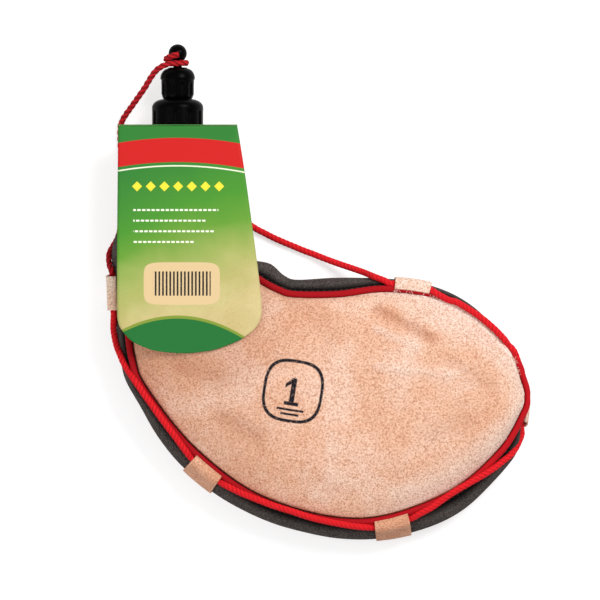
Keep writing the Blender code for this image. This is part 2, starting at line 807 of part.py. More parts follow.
def spout_collar(axis, finish):
    """Fluted collar with a rounded shoulder, a threaded bore below and the drinking spout above."""
    top = COLLAR_BASE + COLLAR_HEIGHT
    ceiling = gasket_foot() + GASKET_THICKNESS + CLEARANCE
    shoulder = COLLAR_RADIUS - COLLAR_MOUTH_RADIUS
    spout_top = top + SPOUT_LENGTH
    profile = [
        (SPOUT_JET_RADIUS, spout_top),
        (SPOUT_RADIUS - COLLAR_FILLET, spout_top),
        (SPOUT_RADIUS, spout_top - COLLAR_FILLET),
        (SPOUT_RADIUS, top),
    ]
    for step in range(6):
        angle = math.radians(90 - 18 * step)
        profile.append(
            (
                COLLAR_MOUTH_RADIUS + shoulder * math.cos(angle),
                top - COLLAR_SHOULDER_RISE * (1 - math.sin(angle)),
            )
        )
    profile += [
        (COLLAR_RADIUS, COLLAR_BASE + COLLAR_FILLET),
        (COLLAR_RADIUS - COLLAR_FILLET, COLLAR_BASE),
        (COLLAR_BORE, COLLAR_BASE),
        (COLLAR_BORE, ceiling),
        (SPOUT_WELL_RADIUS, ceiling),
        (SPOUT_WELL_RADIUS, top),
        (SPOUT_JET_RADIUS, spout_top - SPOUT_TIP),
    ]
    piece = turned("spout_collar", profile, FLUTED_TURN_STEPS, finish, axis)
    ring = COLLAR_RADIUS + COLLAR_FLUTE_RADIUS - COLLAR_FLUTE_DEPTH
    flute_top = COLLAR_BASE + COLLAR_FLUTE_TOP
    foot = COLLAR_BASE - COLLAR_FLUTE_RADIUS - OVERRUN
    cut(piece, flute_cutter("collar_flutes", COLLAR_FLUTES, ring, COLLAR_FLUTE_RADIUS, foot, flute_top, axis))
    return piece


def cap_ceiling():
    return COLLAR_BASE + COLLAR_HEIGHT + SPOUT_LENGTH + 2 * CLEARANCE + SEAL_THICKNESS


def cap_seal(axis, finish):
    foot = cap_ceiling() - CLEARANCE - SEAL_THICKNESS
    radius = CAP_BORE - 2 * CLEARANCE
    profile = [(0.0, foot + SEAL_THICKNESS), (radius, foot + SEAL_THICKNESS), (radius, foot), (0.0, foot)]
    return turned("cap_seal", profile, SMALL_TURN_STEPS, finish, axis, closed=False)


def screw_cap(axis, finish):
    """Fluted cap with an overhanging shoulder, a domed crown and a ball knob on a short neck."""
    crown = CAP_BASE + CAP_HEIGHT
    shoulder = CAP_BASE + CAP_SHOULDER_RISE
    ball_foot = math.degrees(math.asin(-math.sqrt(1 - (KNOB_NECK_RADIUS / KNOB_RADIUS) ** 2)))
    profile = [(0.0, KNOB_CENTRE + KNOB_RADIUS)]
    profile += arc_profile(0.0, KNOB_CENTRE, KNOB_RADIUS, 72, ball_foot, 7)
    profile += [(KNOB_NECK_RADIUS, crown), (CAP_CROWN_RADIUS, crown - CAP_CROWN_DROP)]
    rise = crown - CAP_CROWN_DROP - shoulder
    for step in (1, 2, 3, 4):
        angle = math.radians(90 - 22.5 * step)
        profile.append(
            (
                CAP_CROWN_RADIUS + (CAP_SHOULDER_RADIUS - CAP_CROWN_RADIUS) * math.cos(angle),
                shoulder + rise * math.sin(angle),
            )
        )
    profile += [
        (CAP_RADIUS, shoulder - (CAP_SHOULDER_RADIUS - CAP_RADIUS)),
        (CAP_RADIUS, CAP_BASE + CAP_FOOT_RISE),
        (CAP_FOOT_RADIUS, CAP_BASE),
        (CAP_BORE, CAP_BASE),
        (CAP_BORE, cap_ceiling()),
        (0.0, cap_ceiling()),
    ]
    piece = turned("screw_cap", profile, FLUTED_TURN_STEPS, finish, axis, closed=False)
    ring = CAP_RADIUS + CAP_FLUTE_RADIUS - CAP_FLUTE_DEPTH
    top = shoulder - COLLAR_FILLET
    foot = CAP_BASE - CAP_FLUTE_RADIUS - OVERRUN
    cut(piece, flute_cutter("cap_flutes", CAP_FLUTES, ring, CAP_FLUTE_RADIUS, foot, top, axis))
    return piece


def least_gap(points, radius):
    """The least gap between turns of a wound tube, measured between its points."""
    turn = LOOP_STEPS // 2
    least = min(
        (points[first] - points[second]).length
        for first in range(len(points))
        for second in range(first + turn, len(points))
    )
    return least - 2 * radius


def winding(name, points, finish, parent):
    print(name, "least gap to itself, mm:", round(1000 * least_gap(points, CORD_RADIUS), 2))
    return tube(name, points, CORD_RADIUS, finish, resolution=1, parent=parent)


def binding_points():
    """Turns round the leather neck, from its upper edge down, with straight ends that leave it."""
    start = -2 * math.pi * BINDING_TURNS
    count = round(BINDING_TURNS * LOOP_STEPS)
    points = []
    for step in range(count + 1):
        angle = start + 2 * math.pi * step / LOOP_STEPS
        height = -BINDING_BELOW_EDGE - BINDING_PITCH * step / LOOP_STEPS
        points.append(Vector((BINDING_RADIUS * math.cos(angle), BINDING_RADIUS * math.sin(angle), height)))
    last = points[-1] - points[-2]
    points.append(points[-1] + last.normalized() * 2 * CORD_RADIUS)
    return points


def loop_points():
    """The cord laid on the ball, down round the knob's neck, in the cap's own axis."""
    count = round(LOOP_TURNS * LOOP_STEPS)
    final = CAP_BASE + CAP_HEIGHT + LOOP_LAST_RISE
    touch = KNOB_RADIUS + CORD_RADIUS + CLEARANCE
    least = KNOB_NECK_RADIUS + CORD_RADIUS + CLEARANCE
    points = []
    for step in range(count + 1):
        angle = LOOP_START_ANGLE - 2 * math.pi * step / LOOP_STEPS
        ahead = (count - step) / count
        height = final + LOOP_SLOPE * ahead + LOOP_LIFT * ahead**3
        beside = touch**2 - (KNOB_CENTRE - height) ** 2
        radius = max(least, math.sqrt(max(beside, 0.0)))
        points.append(Vector((radius * math.cos(angle), radius * math.sin(angle), height)))
    last = points[-1] - points[-2]
    points.append(points[-1] + last.normalized() * 2 * CORD_RADIUS)
    return points


def smooth_route(guides, spacing):
    """Evenly spaced points along the smooth curve through the guides."""
    fine = []
    for step in range(40 * (len(guides) - 1) + 1):
        fine.append(on_curve(guides, step / 40))
    lengths = [0.0]
    for before, after in zip(fine, fine[1:]):
        lengths.append(lengths[-1] + (after - before).length)
    count = max(2, round(lengths[-1] / spacing))
    points = []
    index = 0
    for step in range(count + 1):
        target = lengths[-1] * step / count
        while index < len(lengths) - 2 and lengths[index + 1] < target:
            index += 1
        span = lengths[index + 1] - lengths[index]
        share = (target - lengths[index]) / span if span else 0.0
        points.append(fine[index].lerp(fine[index + 1], min(share, 1.0)))
    return points


def bag_point(across, along, height):
    """A point by its shares of the bag's width and length, with its own height."""
    return Vector((BAG_LEFT + across * BAG_WIDTH, BAG_BOTTOM + along * BAG_LENGTH, height))


def cord(name, route, finish):
    spacing = 4 * CORD_RADIUS
    guides = [bag_point(*entry) for entry in route]
    return tube(name, smooth_route(guides, spacing), CORD_RADIUS, finish)


def tag_hinge():
    """The crease at the collar's foot: an empty on the fold, which the front leaf hangs from."""
    hinge = bpy.data.objects.new("tag_crease", None)
    height = NECK_HEIGHT + BINDING_RADIUS + CORD_RADIUS + TAG_STAND_OFF
    crease = NECK_TOP + CLEARANCE * 2 + FLANGE_THICKNESS + CARD_THICKNESS / 2
    hinge.location = (NECK_X, crease, height)
    parts.objects.link(hinge)
    return hinge


def tag_outline():
    """The front leaf from its crease corners down to the round foot, x across and y down from the crease."""
    outline = []
    for across, down in TAG_SHARES:
        outline.append((TAG_LEFT + across * TAG_TOP_WIDTH, -down * TAG_LENGTH))
    return outline


def card(name, outline, holes, finish, parent):
    """A flat card cut to an outline, with round holes, as thick as the card stock."""
    sheet = bpy.data.curves.new(name, "CURVE")
    sheet.dimensions = "2D"
    sheet.fill_mode = "BOTH"
    sheet.extrude = CARD_THICKNESS / 2
    for loop in [outline] + holes:
        spline = sheet.splines.new("POLY")
        spline.points.add(len(loop) - 1)
        for target, point in zip(spline.points, loop):
            target.co = (*point, 0.0, 1.0)
        spline.use_cyclic_u = True
    piece = bpy.data.objects.new(name, sheet)
    piece.data.materials.append(finish)
    parts.objects.link(piece)
    piece.parent = parent
    return piece


def hang_tag(hinge, finish):
    front = card("hang_tag_front", tag_outline(), [], finish, hinge)
    front.location = (0.0, -CARD_THICKNESS / 2 - CLEARANCE, 0.0)
    front.rotation_euler = (-math.radians(TAG_TILT_DEGREES), 0.0, 0.0)
    drop = hinge.location.z - NECK_HEIGHT
    hole = []
    for step in range(TURN_STEPS):
        angle = 2 * math.pi * step / TURN_STEPS
        hole.append((FLAP_HOLE_RADIUS * math.cos(angle), FLAP_HOLE_RADIUS * math.sin(angle) - drop))
    side = FLAP_HOLE_RADIUS + FLAP_SIDE_LAND
    foot = -drop - FLAP_BELOW_NECK
    outline = [(TAG_LEFT, CARD_THICKNESS / 2), (TAG_LEFT, -FLAP_ROUND), (-side, -2 * FLAP_ROUND)]
    for centre, start in ((FLAP_ROUND - side, 180), (side - FLAP_ROUND, 270)):
        for step in range(5):
            angle = math.radians(start + 22.5 * step)
            outline.append((centre + FLAP_ROUND * math.cos(angle), foot + FLAP_ROUND * (1 + math.sin(angle))))
    outline += [
        (side, -2 * FLAP_ROUND),
        (TAG_LEFT + TAG_TOP_WIDTH, -FLAP_ROUND),
        (TAG_LEFT + TAG_TOP_WIDTH, CARD_THICKNESS / 2),
    ]
    flap = card("hang_tag_flap", outline, [hole], finish, hinge)
    flap.rotation_euler = (math.pi / 2, 0.0, 0.0)
    return front, flap


def build():
    clear_scene()
    finish = finishes()
    panel("front_panel", True, 10, finish["suede"])
    panel("back_panel", False, 8, finish["suede"])
    side_gusset(finish["gusset"])
    piping("front_piping", True, finish["piping"])
    piping("back_piping", False, finish["piping"])
    inner_liner(finish["liner"])
    for name, (place, cord_share) in KEEPERS.items():
        keeper(name, place, cord_share, finish["suede"])
    axis = neck_axis()
    neck_base(axis, finish["plastic"])
    collar_gasket(axis, finish["rubber"])
    spout_collar(axis, finish["plastic"])
    cap_seal(axis, finish["rubber"])
    screw_cap(axis, finish["plastic"])
    winding("neck_binding", binding_points(), finish["cord"], axis)
    winding("knob_loop", loop_points(), finish["cord"], axis)
    for name, route in (
        ("cap_tether", TETHER_ROUTE),
        ("carrying_cord", CARRYING_ROUTE),
        ("shoulder_stretch", SHOULDER_ROUTE),
    ):
        cord(name, route, finish["cord"])
    hang_tag(tag_hinge(), finish["card"])


build()
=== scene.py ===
"""Leather bota bag: napped suede, a felted gusset, laid cord, a plastic neck and a card tag."""

import math
import random

import bmesh
import bpy
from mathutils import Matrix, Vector, noise


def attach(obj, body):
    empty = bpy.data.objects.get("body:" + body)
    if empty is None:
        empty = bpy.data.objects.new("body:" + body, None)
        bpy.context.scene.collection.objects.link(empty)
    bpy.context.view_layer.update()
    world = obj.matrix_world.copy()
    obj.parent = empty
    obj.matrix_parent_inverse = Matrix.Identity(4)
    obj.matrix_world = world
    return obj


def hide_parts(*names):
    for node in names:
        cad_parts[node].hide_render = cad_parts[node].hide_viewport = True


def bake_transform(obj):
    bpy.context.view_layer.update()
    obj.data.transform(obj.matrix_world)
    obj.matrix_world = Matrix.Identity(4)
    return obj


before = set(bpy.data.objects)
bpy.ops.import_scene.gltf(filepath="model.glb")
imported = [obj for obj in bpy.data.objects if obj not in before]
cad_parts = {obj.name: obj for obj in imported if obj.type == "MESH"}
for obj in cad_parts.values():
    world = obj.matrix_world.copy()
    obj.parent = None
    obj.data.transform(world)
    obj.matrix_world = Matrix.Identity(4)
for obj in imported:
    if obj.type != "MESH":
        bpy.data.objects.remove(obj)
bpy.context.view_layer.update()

MM = 0.001
WELD_REACH = 0.00002

# The bag, as it was built
BAG_WIDTH = 0.280
BAG_LENGTH = 0.2705
BAG_LEFT = -BAG_WIDTH / 2
BAG_BOTTOM = -0.1639
NECK_TOP = BAG_BOTTOM + BAG_LENGTH
NECK_X = BAG_LEFT + 0.1645 * BAG_WIDTH
NECK_HEIGHT = 0.0220
CLEARANCE = 0.0003
FRONT_SEAM_HEIGHT = 0.0335
BACK_SEAM_HEIGHT = 0.0090
FRONT_CROWN = 0.0125
BACK_CROWN = 0.0110
CROWN_REACH = 0.070
NECK_SEAM_RISE = 0.0100
NECK_RIDGE = 0.0042
BACK_INSET = 0.0080
NECK_BACK_INSET = 0.0040
LEATHER_THICKNESS = 0.0014
GUSSET_THICKNESS = 0.0012
GUSSET_LEAST_BULGE = 0.0014
PIPING_RADIUS = 0.0021
PIPING_OFFSET = PIPING_RADIUS + CLEARANCE
PIPING_SINK = LEATHER_THICKNESS / 2
NECK_END = 0.75
PIPING_START = 1.15
BODY_START = 3.2

# The neck's pieces, as they were built. Heights are above the leather neck's end.
FLANGE_RADIUS = 0.0150
FLANGE_TOP = 0.0025
BARREL_RADIUS = 0.0103
BARREL_LENGTH = 0.0240
BARREL_RIDGE = 0.0003
RIM_ROUNDING = 0.0005
FILLER_BORE = 0.0086
FILLER_WALL = 0.0115
COLLAR_BASE = 0.0036
COLLAR_HEIGHT = 0.0172
COLLAR_TOP = COLLAR_BASE + COLLAR_HEIGHT
COLLAR_RADIUS = 0.0170
COLLAR_MOUTH = 0.0092
COLLAR_BORE = 0.0131
COLLAR_SHOULDER = 0.0056
FILLER_RIM = COLLAR_BASE + 0.0100
SEAL_THICKNESS = 0.0012
SPOUT_RADIUS = 0.0070
SPOUT_TOP = COLLAR_TOP + 0.0140
WELL_RADIUS = 0.0050
JET_RADIUS = 0.0016
CAP_BASE = COLLAR_TOP + CLEARANCE
CAP_CROWN = CAP_BASE + 0.0207
CAP_SHOULDER = CAP_BASE + 0.0134
CAP_RADIUS = 0.0109
CAP_SHOULDER_RADIUS = 0.0115
CAP_CROWN_RADIUS = 0.0061
CAP_BORE = 0.0081
KNOB_RADIUS = 0.0061
KNOB_NECK_RADIUS = 0.0028
KNOB_CENTRE = CAP_CROWN + 0.0094

# The outlines, in shares of the bag's width and length: from the neck down the left side to the
# tip, and back up the right side to the neck
SILHOUETTE_SHARES = [
    (0.116, 1.000), (0.1155, 0.931), (0.079, 0.848), (0.030, 0.768), (0.0095, 0.702),
    (0.015, 0.621), (0.019, 0.531), (0.0285, 0.448), (0.0544, 0.364), (0.1748, 0.1796),
    (0.3606, 0.0515), (0.600, 0.000), (0.8091, 0.0537), (0.953, 0.190), (0.974, 0.268),
    (0.974, 0.352), (0.967, 0.412), (0.9421, 0.4666), (0.8668, 0.5666), (0.765, 0.6205),
    (0.652, 0.638), (0.546, 0.639), (0.449, 0.634), (0.416, 0.645), (0.383, 0.672),
    (0.336, 0.687), (0.289, 0.728), (0.251, 0.786), (0.228, 0.857), (0.2135, 0.931),
    (0.213, 1.000),
]
SEAM_SHARES = [
    (0.1293, 1.000), (0.1293, 0.926), (0.107, 0.840), (0.070, 0.757), (0.053, 0.689),
    (0.051, 0.611), (0.055, 0.531), (0.065, 0.445), (0.093, 0.370), (0.211, 0.220),
    (0.376, 0.101), (0.595, 0.052), (0.794, 0.113), (0.919, 0.218), (0.974, 0.313),
    (0.981, 0.348), (0.976, 0.382), (0.942, 0.462), (0.860, 0.545), (0.763, 0.590),
    (0.652, 0.604), (0.544, 0.591), (0.438, 0.591), (0.397, 0.604), (0.362, 0.623),
    (0.315, 0.657), (0.268, 0.709), (0.232, 0.772), (0.213, 0.850), (0.1997, 0.931),
    (0.1997, 1.000),
]
TIP = len(SEAM_SHARES) // 2

# The cord's routes: ten-thousandths of the bag's width and length, then the height of the cord's
# middle in tenths of a millimetre
TETHER_ROUTE = [
    (1564, 11636, 279), (1485, 11632, 280), (1407, 11617, 276), (1278, 11564, 268),
    (1174, 11499, 250), (1073, 11390, 232), (988, 11266, 214), (859, 11051, 184),
    (702, 10831, 148), (540, 10609, 106), (387, 10399, 66), (293, 10231, 40),
    (261, 10043, 28), (267, 9649, 24), (291, 9156, 24), (310, 8662, 24),
    (315, 8194, 24), (299, 7849, 28), (256, 7576, 46), (195, 7353, 86),
    (102, 7169, 128), (27, 7010, 166), (19, 6832, 208), (47, 6672, 240),
    (87, 6586, 267), (103, 6383, 266), (116, 6134, 265), (124, 5895, 265),
]
TETHER_SPLIT = 11
CARRYING_ROUTE = [
    (125, 5863, 265), (132, 5688, 265), (141, 5489, 265), (130, 5117, 222),
    (203, 4746, 250), (285, 4537, 284), (370, 4330, 300), (490, 4116, 312),
    (628, 3914, 358), (761, 3722, 368), (887, 3527, 372), (1026, 3334, 372),
    (1153, 3142, 372), (1367, 2840, 370), (1647, 2455, 361), (1743, 2317, 357),
    (1840, 2180, 350), (1972, 2000, 322), (2138, 1844, 322), (2311, 1690, 322),
    (2487, 1540, 322), (2666, 1397, 322), (2864, 1292, 350), (3015, 1215, 357),
    (3167, 1140, 361), (3481, 1010, 372), (3872, 856, 374), (4312, 715, 374),
    (4776, 557, 374), (5202, 452, 372), (5676, 359, 361), (5845, 334, 357),
    (6018, 314, 350), (6248, 302, 322), (6479, 338, 322), (6712, 388, 322),
    (6942, 450, 323), (7166, 523, 323), (7379, 646, 350), (7530, 733, 357),
    (7678, 821, 361), (8151, 1168, 374), (8462, 1354, 374), (8797, 1550, 368),
    (8975, 1661, 362), (9167, 1792, 338), (9341, 1930, 312), (9512, 2069, 292),
    (9640, 2231, 258), (9737, 2423, 220), (9789, 2566, 192), (9782, 2743, 175),
    (9813, 2981, 173), (9822, 3237, 172), (9810, 3502, 172), (9798, 3762, 172),
    (9801, 3915, 184), (9786, 4114, 209), (9685, 4344, 317), (9632, 4500, 320),
    (9583, 4608, 327), (9524, 4685, 335), (9443, 4759, 339), (9357, 4887, 372),
    (9190, 5072, 374), (8997, 5260, 374), (8801, 5423, 374), (8601, 5569, 374),
    (8406, 5696, 374), (8220, 5803, 374), (8050, 5850, 364), (7928, 5912, 364),
    (7806, 5982, 362), (7701, 6049, 358), (7569, 6141, 320), (7395, 6179, 320),
    (7201, 6211, 320), (7059, 6229, 320),
]
SHOULDER_ROUTE = [
    (7037, 6231, 320), (6863, 6247, 321), (6665, 6257, 321), (6527, 6330, 308),
    (6291, 6424, 272), (6054, 6529, 184), (5815, 6618, 132), (5574, 6703, 92),
    (5335, 6790, 66), (5097, 6884, 46), (4859, 6981, 34), (4617, 7075, 27),
    (4383, 7176, 24), (4147, 7277, 24), (3912, 7385, 24), (3685, 7506, 24),
    (3445, 7639, 24), (2696, 8155, 26), (2493, 8599, 30), (2350, 8969, 44),
    (2286, 9264, 74), (2282, 9390, 120), (2286, 9401, 168),
]

# The cord's radius, the length of one strand's bump and how far the strands stand out
SLACK = (0.0021, 0.0044, 0.43)
TAUT = (0.0022, 0.0030, 0.20)
CORD_RADIUS = 0.0021
STRANDS = 3
ROPE_SIDES = 24
ROPE_STEP = 0.0007
WINDING_STEPS = 72

# Soft folds in the front panel: start, end, half width and rise, all in millimetres
FRONT_FOLDS = [
    ((38, -11), (74, -30), 4.4, -1.90),
    ((38, -25), (65, -37), 2.8, 1.35),
    ((38, -49), (88, -55), 2.9, 1.15),
    ((84, -44), (112, -62), 5.0, -0.55),
    ((-64, -84), (-41, -96), 6.5, -0.95),
    ((-96, -46), (-68, -56), 8.0, -0.60),
    ((-14, 0), (8, -26), 10.0, -0.60),
    ((100, -40), (118, -58), 7.0, -0.45),
    ((72, -96), (96, -84), 7.0, -0.50),
    ((-38, -62), (-14, -54), 7.0, 0.45),
    ((20, -104), (52, -112), 8.0, 0.50),
    ((-10, -122), (18, -132), 6.0, -0.45),
    ((-104, -14), (-90, -34), 7.0, 0.50),
]


def blend(start, end, share):
    return start + (end - start) * share


def shares(count):
    """Even shares from 0 to 1."""
    return [step / count for step in range(count + 1)]


def ring(count):
    """Even angles round a circle."""
    return [2 * math.pi * step / count for step in range(count)]


def smooth_share(value, start, end):
    share = min(max((value - start) / (end - start), 0.0), 1.0)
    return share * share * (3.0 - 2.0 * share)


# ---------------------------------------------------------------- the bag's outlines
def outline_points(pairs):
    return [Vector((BAG_LEFT + x * BAG_WIDTH, BAG_BOTTOM + y * BAG_LENGTH)) for x, y in pairs]


SILHOUETTE = outline_points(SILHOUETTE_SHARES)
SEAM = outline_points(SEAM_SHARES)


def on_curve(points, place):
    """The point at a place on the smooth curve through points, which are one place apart."""
    last = len(points) - 1
    place = min(max(place, 0.0), float(last))
    first = min(int(place), last - 1)
    share = place - first
    a = points[max(first - 1, 0)]
    b = points[first]
    c = points[first + 1]
    d = points[min(first + 2, last)]
    return 0.5 * (
        2 * b
        + (c - a) * share
        + (2 * a - 5 * b + 4 * c - d) * share**2
        + (3 * b - a - 3 * c + d) * share**3
    )


def outward(points, place):
    """The direction square to the curve, away from the bag."""
    nudge = 0.02
    along = on_curve(points, place + nudge) - on_curve(points, place - nudge)
    along.normalize()
    return Vector((along.y, -along.x))


def row_of(place):
    """How far from the neck a place on either side of the bag is."""
    return min(place, 2 * TIP - place)


def body_share(row):
    return smooth_share(row, NECK_END, BODY_START)


def front_seam_height(row):
    return blend(NECK_HEIGHT + NECK_SEAM_RISE, FRONT_SEAM_HEIGHT, body_share(row))


def back_seam_height(row):
    return blend(NECK_HEIGHT - NECK_SEAM_RISE, BACK_SEAM_HEIGHT, body_share(row))


def back_inset(row):
    return blend(NECK_BACK_INSET, BACK_INSET, body_share(row))


def front_seam(place):
    return on_curve(SEAM, place)


def back_seam(place):
    return on_curve(SILHOUETTE, place) - outward(SILHOUETTE, place) * back_inset(row_of(place))


def even_places(start, spacing):
    """Places round the outline at an even distance from each other."""
    places = [start]
    nudge = 0.01
    last = 2 * TIP - start
    place = start
    while place < last:
        speed = (on_curve(SILHOUETTE, place + nudge) - on_curve(SILHOUETTE, place)).length / nudge
        place += spacing / max(speed, 0.002)
        places.append(min(place, last))
    return places


# ---------------------------------------------------------------- meshes
def rework(mesh, operation):
    """Does one bmesh operation on a mesh."""
    shape = bmesh.new()
    shape.from_mesh(mesh)
    operation(shape)
    shape.to_mesh(mesh)
    shape.free()


def weld(mesh):
    """Joins the points that lie within 0.02 mm of each other."""
    rework(mesh, lambda shape: bmesh.ops.remove_doubles(shape, verts=shape.verts, dist=WELD_REACH))


def skin(name, rows, flip=False, wrap=False, ends=False, marks=None):
    """A skin of quads through rows of points. marks are vectors, kept for the points."""
    width = len(rows[0])
    faces = []
    for row in range(len(rows) - 1):
        low = row * width
        high = low + width
        for step in range(width if wrap else width - 1):
            beside = (step + 1) % width
            corners = (low + step, high + step, high + beside, low + beside)
            faces.append(corners[::-1] if flip else corners)
    if ends:
        first = tuple(range(width))
        last = tuple(range((len(rows) - 1) * width, len(rows) * width))
        faces += [first[::-1], last] if flip else [first, last[::-1]]
    mesh = bpy.data.meshes.new(name)
    mesh.from_pydata([tuple(point) for row in rows for point in row], [], faces)
    if marks:
        layer = mesh.attributes.new("lay", "FLOAT_VECTOR", "POINT")
        flat = [value for row in marks for mark in row for value in mark]
        layer.data.foreach_set("vector", flat)
    weld(mesh)
    mesh.shade_smooth()
    return mesh


def add_piece(name, mesh, finish, body, slot, *replaced):
    piece = bpy.data.objects.new(name, mesh)
    bpy.context.scene.collection.objects.link(piece)
    piece.data.materials.append(finish)
    if replaced:
        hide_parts(*replaced)
    if body:
        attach(piece, body)
    return piece


def apply_modifier(piece, kind, **settings):
    modifier = piece.modifiers.new("shape", kind)
    for setting, value in settings.items():
        setattr(modifier, setting, value)
    bpy.ops.object.select_all(action="DESELECT")
    piece.select_set(True)
    bpy.context.view_layer.objects.active = piece
    bpy.ops.object.modifier_apply(modifier=modifier.name)


def thicken(piece, thickness, offset=-1.0):
    apply_modifier(piece, "SOLIDIFY", thickness=thickness, offset=offset, use_even_offset=False)


def bag_point(entry):
    """The point of one entry in a cord's route."""
    across, along, height = (number / 10000 for number in entry)
    return Vector((BAG_LEFT + across * BAG_WIDTH, BAG_BOTTOM + along * BAG_LENGTH, height))


def about_neck(radius, angle, height):
    """A point round the neck's axis."""
    x = NECK_X + radius * math.cos(angle)
    z = NECK_HEIGHT - radius * math.sin(angle)
    return Vector((x, NECK_TOP + height, z))


def smooth_route(guides, spacing):
    """Evenly spaced points along the smooth curve through the guides."""
    fine = [on_curve(guides, step / 40) for step in range(40 * (len(guides) - 1) + 1)]
    lengths = [0.0]
    for before, after in zip(fine, fine[1:]):
        lengths.append(lengths[-1] + (after - before).length)
    count = max(2, round(lengths[-1] / spacing))
    points = []
    index = 0
    for step in range(count + 1):
        target = lengths[-1] * step / count
        while index < len(lengths) - 2 and lengths[index + 1] < target:
            index += 1
        span = lengths[index + 1] - lengths[index]
        share = (target - lengths[index]) / span if span else 0.0
        points.append(fine[index].lerp(fine[index + 1], min(share, 1.0)))
    return points


def frames_along(points):
    """For each point of a path: the point, and two directions square to the path."""
    frames = []
    side = None
    for index, point in enumerate(points):
        before = points[max(index - 1, 0)]
        after = points[min(index + 1, len(points) - 1)]
        along = (after - before).normalized()
        if side is None:
            side = along.orthogonal().normalized()
        side = (side - along * side.dot(along)).normalized()
        frames.append((point, side, along.cross(side)))
    return frames


def spoke(side, up, angle):
    return side * math.cos(angle) + up * math.sin(angle)


def tube_mesh(name, points, radius, sides=16):
    rows = []
    for point, side, up in frames_along(points):
        rows.append([point + spoke(side, up, angle) * radius for angle in ring(sides)])
    return skin(name, rows, flip=True, wrap=True, ends=True)


def slim_tubes(name, runs, sides, radius, sizes):
    """One mesh of many short tubes that taper by sizes, each along its own points."""
    verts = []
    faces = []
    for points in runs:
        start = len(verts)
        for (point, side, up), size in zip(frames_along(points), sizes):
            for angle in ring(sides):
                verts.append(tuple(point + spoke(side, up, angle) * (radius * size)))
        last = len(verts) - sides
        for low in range(start, last, sides):
            for step in range(sides):
                beside = (step + 1) % sides
                faces.append((low + beside, low + sides + beside, low + sides + step, low + step))
        faces.append(tuple(range(start, start + sides)))
        faces.append(tuple(reversed(range(last, last + sides))))
    mesh = bpy.data.meshes.new(name)
    mesh.from_pydata(verts, [], faces)
    return mesh


def rope_mesh(name, points, radius, bump, reach):
    """Strands laid together: each ring is the outline of circles that turn along the rope."""
    strand = 2 * math.pi / STRANDS
    swell = 1.0 - reach
    rows = []
    marks = []
    distance = 0.0
    frames = frames_along(points)
    for index, (point, side, up) in enumerate(frames):
        if index:
            distance += (point - frames[index - 1][0]).length
        turn = 2 * math.pi * distance / (STRANDS * bump)
        row = []
        mark = []
        for angle in ring(ROPE_SIDES):
            local = (angle - turn + strand / 2) % strand - strand / 2
            aside = reach * math.sin(local)
            size = reach * math.cos(local) + math.sqrt(swell**2 - aside**2)
            row.append(point + spoke(side, up, angle) * (radius * size))
            # Kept per point: distance along in mm, angle within the strand, and how deep it sits in
            # a groove, which the finish paints in shade.
            mark.append((distance / MM, local * 2, (1.0 - size) * 2.6))
        rows.append(row)
        marks.append(mark)
    return skin(name, rows, flip=True, wrap=True, ends=True, marks=marks)


# ---------------------------------------------------------------- finishes
WHITE = (255, 255, 255)
BLACK = (0, 0, 0)
PRINT_GREEN = (46, 124, 48)
STAMP_PLACE = (-0.0175, -0.0655, 0.0)


def linear(colour):
    """Turns a colour of 0 to 255 into the shader's. One that has alpha is the shader's already."""
    if len(colour) == 4:
        return colour
    bent = []
    for share in (value / 255 for value in colour):
        bent.append(share / 12.92 if share <= 0.04045 else ((share + 0.055) / 1.055) ** 2.4)
    return (*bent, 1.0)


def grey(value):
    return (value, value, value, 1.0)


def add_node(tree, kind, inputs=None, **settings):
    node = tree.nodes.new(kind)
    for setting, value in settings.items():
        setattr(node, setting, value)
    for socket, value in (inputs or {}).items():
        if isinstance(value, Value):
            value = value.socket
        if isinstance(value, bpy.types.NodeSocket):
            tree.links.new(value, node.inputs[socket])
        else:
            node.inputs[socket].default_value = value
    return node


def maths(operation, swapped=False):
    """A method that adds a maths node for a value and gives the node's result."""

    def method(self, *others):
        numbers = (*others, self) if swapped else (self, *others)
        tree = self.socket.id_data
        node = add_node(tree, "ShaderNodeMath", dict(enumerate(numbers)), operation=operation)
        return Value(node.outputs[0])

    return method


class Value:
    """A number that a node gives. Sums with it add nodes to its material."""

    def __init__(self, socket):
        self.socket = socket

    __add__ = maths("ADD")
    __sub__ = maths("SUBTRACT")
    __rsub__ = maths("SUBTRACT", swapped=True)
    __mul__ = maths("MULTIPLY")
    __truediv__ = maths("DIVIDE")
    __mod__ = maths("MODULO")
    __pow__ = maths("POWER")
    __abs__ = maths("ABSOLUTE")
    sine = maths("SINE")
    least = maths("MINIMUM")
    most = maths("MAXIMUM")

    def held(self):
        """The number, held between 0 and 1."""
        self.socket.node.use_clamp = True
        return self

    def window(self, low, high, edge):
        """1 between low and high, 0 outside, with soft edges."""
        rising = (self - low) / edge
        falling = (high - self) / edge
        return (rising.least(falling) + 0.5).held()


